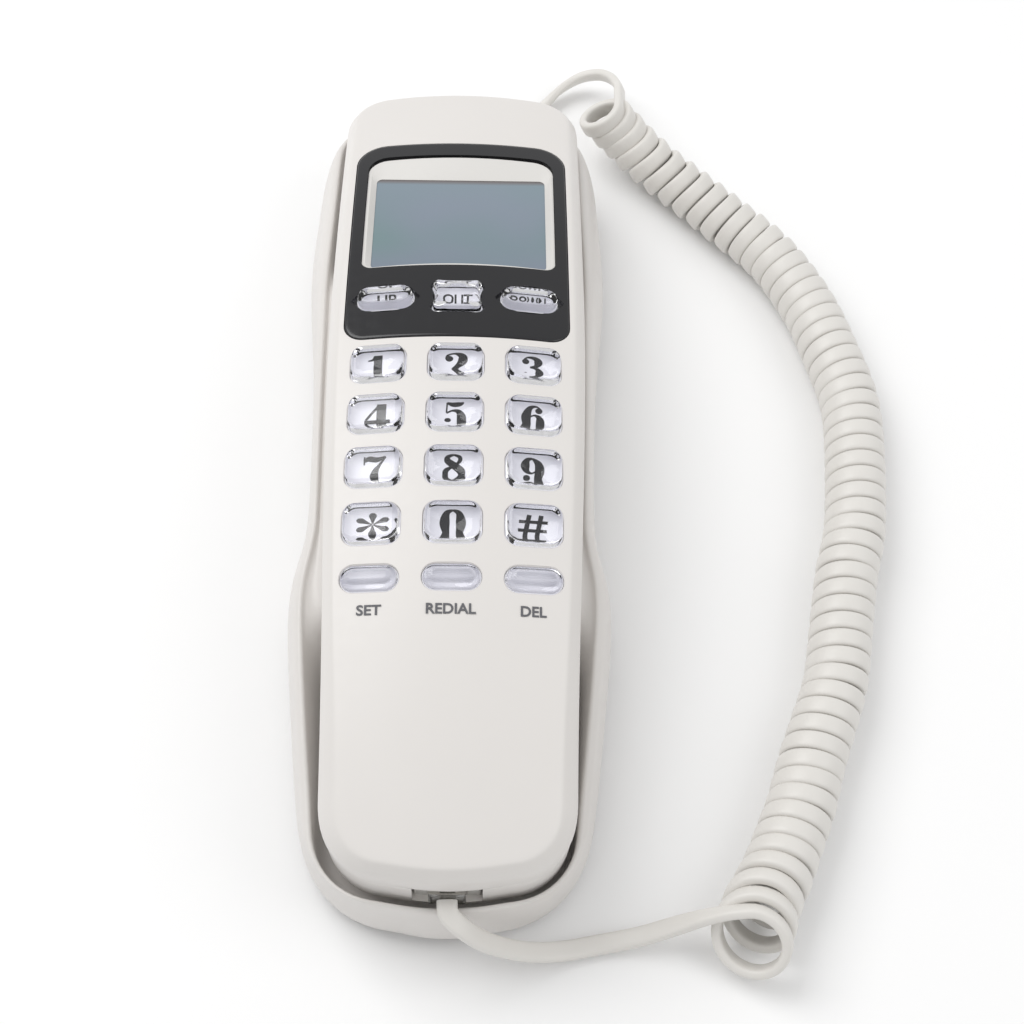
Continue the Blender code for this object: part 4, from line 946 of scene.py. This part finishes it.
def make_key(name, centre, size):
    """Clear cap with softly rounded edges in a shallow pale cup."""
    place = face_frame(*centre)
    levels = [(-0.25 * MM, KEY_BOTTOM), (-0.02 * MM, KEY_BOTTOM + 0.22 * MM)]
    if size is FUNCTION_KEY:
        levels += [(0.0, 0.2 * MM), (-0.12 * MM, 0.5 * MM), (-0.4 * MM, 0.66 * MM), (-0.85 * MM, 0.72 * MM),
                   (-1.0 * MM, 0.82 * MM), (-1.12 * MM, 1.15 * MM), (-1.32 * MM, 1.38 * MM),
                   (-1.65 * MM, KEY_PROUD - 0.02 * MM), (-2.05 * MM, KEY_PROUD)]
    else:
        round_by = 1.15 * MM
        levels.append((0.0, KEY_PROUD - round_by))
        levels += [(-round_by * (1 - math.cos(a)), KEY_PROUD - round_by * (1 - math.sin(a)))
                   for a in (math.pi / 2 * k / 7 for k in range(1, 8))]
        levels.append((-round_by - 0.4 * MM, KEY_PROUD + 0.015 * MM))
    cap = stacked("cap_" + name, [(key_outline(name, size, grow), z) for grow, z in levels],
                  "clear_key", place, sharp=50)
    backing = stacked("backing_" + name, [(key_outline(name, size, grow), z) for grow, z in (
        (0.27 * MM, KEY_BOTTOM - 0.28 * MM), (0.27 * MM, -0.75 * MM), (0.09 * MM, -0.68 * MM),
        (0.09 * MM, KEY_BOTTOM - 0.09 * MM))], "backing", place)
    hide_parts("key_" + name)
    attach(cap, "key_" + name)
    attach(backing, "key_" + name)


# Numerals on a grid 10 high and about 8 wide: strokes of (x, y, pen width), and dots of (x, y, radius)
STROKES = {
    "1": ([[(-0.6, -4.7, 3.1), (-0.6, 0, 3.1), (-0.6, 4.8, 3.1)],
           [(-4.2, 2.6, 0.5), (-2.4, 3.1, 0.9), (-1.6, 4.5, 1.2)],
           [(-3.9, -4.75, 0.5), (-0.6, -4.75, 0.5), (2.7, -4.75, 0.5)]], []),
    "2": ([[(-3.3, 2.4, 0.6), (-2.7, 4.0, 0.7), (-0.3, 4.75, 0.8), (1.9, 3.7, 2.6), (2.1, 1.6, 3.0),
            (0.5, -0.7, 1.8), (-1.9, -2.8, 0.8), (-3.3, -4.3, 0.7)],
           [(-3.4, -4.2, 0.8), (-1.7, -3.4, 1.9), (0.7, -4.2, 2.3), (2.7, -3.9, 1.5), (3.5, -2.2, 0.4)]],
          [(-2.2, 2.5, 1.25)]),
    "3": ([[(-3.2, 2.9, 0.6), (-1.6, 4.6, 0.7), (0.9, 4.3, 1.7), (1.9, 2.7, 2.8), (1.0, 0.9, 1.4),
            (-0.8, 0.4, 0.6)],
           [(-0.8, 0.4, 0.6), (1.4, -0.2, 1.3), (2.2, -2.2, 3.0), (1.1, -4.2, 1.7), (-1.4, -4.7, 0.7),
            (-3.3, -3.2, 0.6)]], [(-2.2, 2.8, 1.15), (-2.3, -2.9, 1.25)]),
    "4": ([[(1.3, -4.7, 3.1), (1.3, 0, 3.1), (1.3, 4.8, 3.1)],
           [(0.6, 4.4, 0.8), (-1.6, 1.4, 0.9), (-3.7, -1.6, 0.8)],
           [(-4.1, -2.0, 0.6), (0, -2.0, 0.6), (4.1, -2.0, 0.6)],
           [(-1.2, -4.75, 0.5), (1.3, -4.75, 0.5), (3.8, -4.75, 0.5)]], []),
    "5": ([[(-2.5, 4.6, 0.7), (-0.6, 3.9, 1.8), (1.4, 4.1, 1.7), (2.8, 4.8, 0.5)],
           [(-2.5, 4.7, 0.5), (-2.6, 2.6, 0.5), (-2.7, 0.5, 0.5)],
           [(-2.7, 0.4, 0.6), (-0.8, 1.4, 0.8), (1.2, 0.9, 1.9), (2.1, -1.7, 3.0), (1.0, -4.1, 1.8),
            (-1.4, -4.7, 0.7), (-3.3, -3.2, 0.6)]], [(-2.3, -2.9, 1.25)]),
    "6": ([[(2.9, 3.3, 0.6), (1.3, 4.7, 0.7), (-0.8, 4.0, 1.7), (-2.1, 0.6, 3.0), (-1.8, -2.6, 2.5),
            (0.1, -4.75, 0.7)],
           [(-1.2, 0.1, 0.5), (0.5, 1.1, 0.7), (2.0, 0.2, 1.9), (2.4, -1.9, 2.8), (1.7, -4.0, 1.7),
            (0.1, -4.75, 0.7)]], [(2.0, 3.0, 1.15)]),
    "7": ([[(-3.4, 3.0, 0.9), (-1.9, 3.9, 2.0), (0.6, 3.5, 1.9), (3.3, 4.6, 0.6)],
           [(-3.4, 4.8, 0.5), (-3.4, 3.2, 0.5), (-3.4, 1.6, 0.5)],
           [(3.3, 4.5, 0.5), (1.6, 1.7, 0.9), (0.1, -1.2, 2.2), (-0.3, -4.7, 3.4)]], []),
    "8": ([[(0, 4.75, 0.7), (-1.8, 3.9, 1.5), (-1.9, 2.3, 2.2), (0.2, 0.4, 2.6), (2.2, -1.6, 2.7),
            (2.1, -3.5, 1.8), (0, -4.75, 0.7)],
           [(0, 4.75, 0.7), (1.8, 3.8, 1.3), (1.7, 2.1, 1.2), (0, 0.4, 0.7), (-2.4, -1.4, 1.7),
            (-2.4, -3.4, 1.6), (0, -4.75, 0.7)]], []),
    "0": ([[(0, 4.75, 0.7), (-1.9, 3.5, 2.0), (-2.5, 0, 3.1), (-1.9, -3.5, 2.0), (0, -4.75, 0.7)],
           [(0, 4.75, 0.7), (1.9, 3.5, 2.0), (2.5, 0, 3.1), (1.9, -3.5, 2.0), (0, -4.75, 0.7)]], []),
    "hash": ([[(-2.4, -4.2, 1.3), (-1.7, 0, 1.3), (-1.0, 4.2, 1.3)],
              [(1.0, -4.2, 1.3), (1.7, 0, 1.3), (2.4, 4.2, 1.3)],
              [(-3.9, 1.6, 1.15), (0, 1.6, 1.15), (4.2, 1.6, 1.15)],
              [(-4.2, -1.6, 1.15), (0, -1.6, 1.15), (3.9, -1.6, 1.15)]], []),
}
STROKES["9"] = ([[(-x, -y, w) for x, y, w in line] for line in STROKES["6"][0]],
                [(-x, -y, r) for x, y, r in STROKES["6"][1]])
STROKES["star"] = ([[(0.2 * math.cos(a), 0.2 * math.sin(a), 0.3), (2.0 * math.cos(a), 2.0 * math.sin(a), 1.1),
                     (3.3 * math.cos(a), 3.3 * math.sin(a), 1.9), (4.3 * math.cos(a), 4.3 * math.sin(a), 0.9)]
                    for a in (math.radians(90 + 60 * k) for k in range(6))], [])


def pen_stroke(line, steps=10):
    """Outline of a stroke of changing width along a smooth line."""
    points = [Vector(p) for p in line]
    padded = [2 * points[0] - points[1]] + points + [2 * points[-1] - points[-2]]
    trail = [catmull(*padded[k - 1:k + 3], i / steps) for k in range(1, len(padded) - 2)
             for i in range(steps)]
    trail.append(points[-1])
    left, right = [], []
    for k, p in enumerate(trail):
        ahead = trail[min(k + 1, len(trail) - 1)] - trail[max(k - 1, 0)]
        across = Vector((-ahead.y, ahead.x)).normalized() * (max(p.z, 0.3) / 2)
        left.append((p.x + across.x, p.y + across.y))
        right.append((p.x - across.x, p.y - across.y))
    return left, right


def make_numeral(name, centre):
    """Printed numeral under a key's cap, as thin raised ink."""
    scale = NUMERAL_UNIT
    spread = {"star": 1.45, "hash": 1.22, "1": 1.0}.get(name, 1.1)
    lower, upper = KEY_BOTTOM - INK_DEPTH[0], KEY_BOTTOM - INK_DEPTH[1]
    lines, dots = STROKES[name]
    verts, faces = [], []
    for layer, line in enumerate(lines):
        left, right = pen_stroke(line)
        top = upper + layer * INK_STEP
        start = len(verts)
        count = len(left)
        for z in (lower, top):
            verts += [(x * scale * spread, y * scale + NUMERAL_RISE, z) for x, y in left + right]
        for k in range(count - 1):
            a, b = start + k, start + count + k
            up = 2 * count
            faces += [(a, a + 1, b + 1, b), (a + up, b + up, b + 1 + up, a + 1 + up),
                      (a, a + up, a + 1 + up, a + 1), (b, b + 1, b + 1 + up, b + up)]
        for k in (0, count - 1):
            a, b = start + k, start + count + k
            faces.append((a, b, b + 2 * count, a + 2 * count))
    for layer, (x, y, radius) in enumerate(dots):
        start = len(verts)
        for z in (lower, upper + (len(lines) + layer) * INK_STEP):
            verts += [((x + radius * math.cos(a)) * scale * spread,
                       (y + radius * math.sin(a)) * scale + NUMERAL_RISE, z)
                      for a in (2 * math.pi * k / DOT_SIDES for k in range(DOT_SIDES))]
        low, high = ring(start, DOT_SIDES), ring(start + DOT_SIDES, DOT_SIDES)
        faces += [tuple(low), tuple(high)] + band(low, high)
    ink = new_object("numeral_" + name, verts, faces, "ink", place=face_frame(*centre))
    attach(ink, "key_" + name)


def make_word(name, text, centre, height, width, body, finish, depth):
    """Plain sans word laid on the face's local frame, scaled to a height and width."""
    data = bpy.data.curves.new(name, "FONT")
    data.body = text
    data.align_x = "CENTER"
    data.extrude = 0.02
    data.offset = 0.022
    data.resolution_u = 4
    temporary = linked(name, data)
    mesh = plain_mesh(temporary)
    bpy.data.objects.remove(temporary, do_unlink=True)
    (x0, x1), (y0, y1), (z0, z1) = ((min(axis), max(axis)) for axis in zip(*(v.co for v in mesh.vertices)))
    for v in mesh.vertices:
        v.co.x = (v.co.x - (x0 + x1) / 2) / (x1 - x0) * width
        v.co.y = (v.co.y - (y0 + y1) / 2) / (y1 - y0) * height
        v.co.z = depth + (v.co.z - z0) / (z1 - z0) * INK_THICKNESS
    mesh.transform(face_frame(*centre))
    mesh.materials.clear()
    mesh.materials.append(finishes[finish])
    word = linked(name, mesh)
    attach(word, body)


# ---------------------------------------------------------------- cradle

cradle_half_width = stations(CRADLE_HALF_WIDTH)
rim_gap = stations(RIM_GAP)
rim_z = stations(RIM_HEIGHT)
CRADLE_STATIONS = [y * MM for y in (-86, -79, -73, -68, -63, -58, -53, -48, -44, -40, -36, -33, -30, -27, -24,
                                    -20, -14, -6, 4, 14, 24, 32, 40, 45, 50, 55, 60, 66, 74, 82)]


def floor_z(y):
    return underside_z(y) - 0.6 * MM


def rim_inner(y):
    return half_width(y) + rim_gap(y)


def rim_outer(y):
    return rim_inner(y) + 1.7 * MM


def cradle_rows(width, bottom, top, corners):
    return rounded_rows(width, bottom, top, corners[0] * MM, corners[1] * MM, CRADLE_STATIONS,
                        crown=(1.4 * MM, 1.0 * MM))


def make_cradle():
    """Open tub: outer wall from the skirt up to a thin soft rim, then down inside to its floor."""
    def skirt(inset, ends, corner, height):
        return (cradle_rows(lambda y: cradle_half_width(y) - inset * MM, BASE_BOTTOM_Y + ends * MM,
                            BASE_TOP_Y - ends * MM, (corner, corner)), lambda x, y: height)

    def outside(part, ends, corners, rise):
        def width(y):
            return cradle_half_width(y) * (1 - part) + rim_outer(y) * part
        return (cradle_rows(width, BASE_BOTTOM_Y + ends[0] * MM, BASE_TOP_Y - ends[1] * MM, corners),
                lambda x, y: WIDEST_Z + (rim_z(y) - WIDEST_Z) * rise)

    def level(width, grow, bottom, top, corners, height):
        return (cradle_rows(lambda y: width(y) + grow * MM, bottom * MM, top * MM, corners), height)

    shell = loft("cradle_tub", [
        skirt(2.4, 2.2, 18, SKIRT_Z),
        skirt(1.0, 0.8, 19, SKIRT_Z + 0.05 * MM),
        skirt(0.45, 0.4, 19.6, SKIRT_Z + 0.9 * MM),
        (cradle_rows(cradle_half_width, BASE_BOTTOM_Y, BASE_TOP_Y, (20, 20)), lambda x, y: WIDEST_Z - 3 * MM),
        outside(0.03, (0.0, 0.0), (20, 20), 0.12),
        outside(0.1, (0.0, 0.0), (20, 20), 0.35),
        outside(0.24, (0.03, 0.08), (19.6, 19.3), 0.55),
        outside(0.45, (0.1, 0.2), (19, 18), 0.75),
        outside(0.66, (0.14, 0.3), (18.5, 16.6), 0.87),
        outside(0.85, (0.2, 0.4), (18, 15), 0.95),
        level(rim_outer, -0.35, -108.6, 108.9, (15.9, 14.0), above(rim_z, -0.12)),
        level(rim_outer, -0.85, -108.1, 108.4, (15.3, 13.2), above(rim_z, 0.05)),
        level(rim_inner, 0.25, -107.7, 108.0, (14.7, 12.8), above(rim_z, -0.15)),
        level(rim_inner, 0.0, -107.5, 107.8, (14.4, 12.6), above(rim_z, -0.9)),
        level(half_width, 0.9, -107.3, 107.4, (13.7, 11.2),
              lambda x, y: min(floor_z(y) + 3.4 * MM, rim_z(y) - 1.2 * MM)),
        level(half_width, -0.2, -106.2, 106.3, (12.7, 10), above(floor_z, 0.9)),
        level(half_width, -1.8, -105.0, 105.1, (12.2, 9), above(floor_z, 0.1)),
        level(half_width, -3.2, -103.8, 103.9, (11.4, 8), above(floor_z)),
    ], "cradle")

    def inside(y):
        return cradle_half_width(y) - BASE_WALL

    def upper(y):
        return min(inside(y), half_width(y) + 0.3 * MM)
    ends = BASE_BOTTOM_Y + BASE_WALL, BASE_TOP_Y - BASE_WALL
    hollow = loft("cradle_hollow", [
        (cradle_rows(inside, *ends, (17, 17)), lambda x, y: 0.0),
        (cradle_rows(inside, *ends, (17, 17)), lambda x, y: 7 * MM),
        (cradle_rows(upper, ends[0] + 0.6 * MM, ends[1], (15, 10)),
         lambda x, y: max(7.5 * MM, floor_z(y) - 6 * MM)),
        (cradle_rows(lambda y: half_width(y) - 2.6 * MM, BASE_BOTTOM_Y + 5 * MM, ends[1] - 0.4 * MM, (13, 9)),
         above(floor_z, -2.4)),
    ], "shell", columns=4)
    holes = [block("hook_slot", (-3.9 * MM, HOOK_Y - 3.1 * MM, 20 * MM),
                   (3.9 * MM, HOOK_Y + 3.1 * MM, 40 * MM), "dark", 0.5 * MM)]
    for name, centre, width, height in (("cord_mouth", BASE_JACK, 8.6 * MM, 7.4 * MM),
                                        ("line_mouth", LINE_JACK, 10.6 * MM, 7.3 * MM)):
        holes.append(block(name, (centre[0] - width / 2, 104 * MM, centre[1] - height / 2),
                           (centre[0] + width / 2, 113 * MM, centre[1] + height / 2), "dark", 0.2 * MM))
    settled(shell, subdivide=1, cutters=(hollow, joined("cradle_holes", holes)), sharp=40)
    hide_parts("cradle_shell")
    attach(shell, "base")


# ---------------------------------------------------------------- the rest

def finish_cad_nodes():
    """Give each CAD node that stays visible its procedural finish."""
    by_slot = {"clear": "clear_plug", "glass": "lcd"}
    shown = {"base_plate": "cradle", "hook_plunger": "cradle", "display_glass": "lcd",
             "handset_plug": "clear_plug", "base_plug": "clear_plug", "handset_jack": "cream"}
    for name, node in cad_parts.items():
        slot_name = node.data.materials[0].name.split(".")[0] if node.data.materials else "dark"
        finish = shown.get(name) or by_slot.get(slot_name) or slot_name
        node.data.materials.clear()
        node.data.materials.append(finishes.get(finish, finishes["dark"]))


def area_light(name, place, size, power):
    """Square white light aimed at the middle of the object."""
    data = bpy.data.lights.new(name, "AREA")
    data.shape = "RECTANGLE"
    data.size = data.size_y = size
    data.energy = power
    light = linked(name, data)
    light.location = place
    light.rotation_mode = "QUATERNION"
    light.rotation_quaternion = (-Vector(place)).to_track_quat("-Z", "Y")


def make_setting():
    """Plain pale floor and soft studio light."""
    tree, shader = nodes_of("floor", FLOOR_COLOUR, 0.9)
    tree.links.new(mixed(tree, noise(tree, 3.0), FLOOR_COLOUR, (0.925, 0.925, 0.925)),
                   shader.inputs["Base Color"])
    corners = [(x * FLOOR_REACH, y * FLOOR_REACH, 0) for x, y in ((-1, -1), (1, -1), (1, 1), (-1, 1))]
    floor = new_object("floor", corners, [(0, 1, 2, 3)], "floor")
    floor.location.z = -FLOOR_DROP
    world = bpy.data.worlds.new("studio")
    world.use_nodes = True
    sky = world.node_tree.nodes["Background"]
    sky.inputs["Color"].default_value = (1, 1, 1, 1)
    sky.inputs["Strength"].default_value = SKY_STRENGTH
    bpy.context.scene.world = world
    area_light("key_light", (-0.55, 0.35, 0.95), 0.8, 6.4)
    area_light("fill_light", (0.75, -0.2, 0.8), 0.7, 1.9)
    view = bpy.context.scene.view_settings
    view.view_transform = "Standard"
    view.look = "None"


make_materials()
make_camera()
make_cord()
make_front_cover()
make_rear_cover()
make_bezel()
make_display()
for key in KEYPAD + BEZEL_KEYS:
    make_key(*key)
for key_name, key_centre, _ in KEYPAD:
    if key_name in STROKES:
        make_numeral(key_name, key_centre)
for text, x, width in (("SET", -17.0, 5.2), ("REDIAL", 0.0, 10.3), ("DEL", 17.1, 5.4)):
    make_word("legend_" + text.lower(), text, (x * MM, LEGEND_Y), 2.3 * MM, width * MM, "handset", "legend",
              -0.02 * MM)
for (key_name, (key_x, key_y), _), width, rise in zip(BEZEL_KEYS, (4.4, 6.6, 8.0), (1.3, 0.9, 1.3)):
    make_word("legend_" + key_name, key_name.upper(), (key_x, key_y + rise * MM), 2.4 * MM, width * MM,
              "key_" + key_name, "ink", KEY_BOTTOM - INK_DEPTH[0])
make_cradle()
finish_cad_nodes()
make_setting()
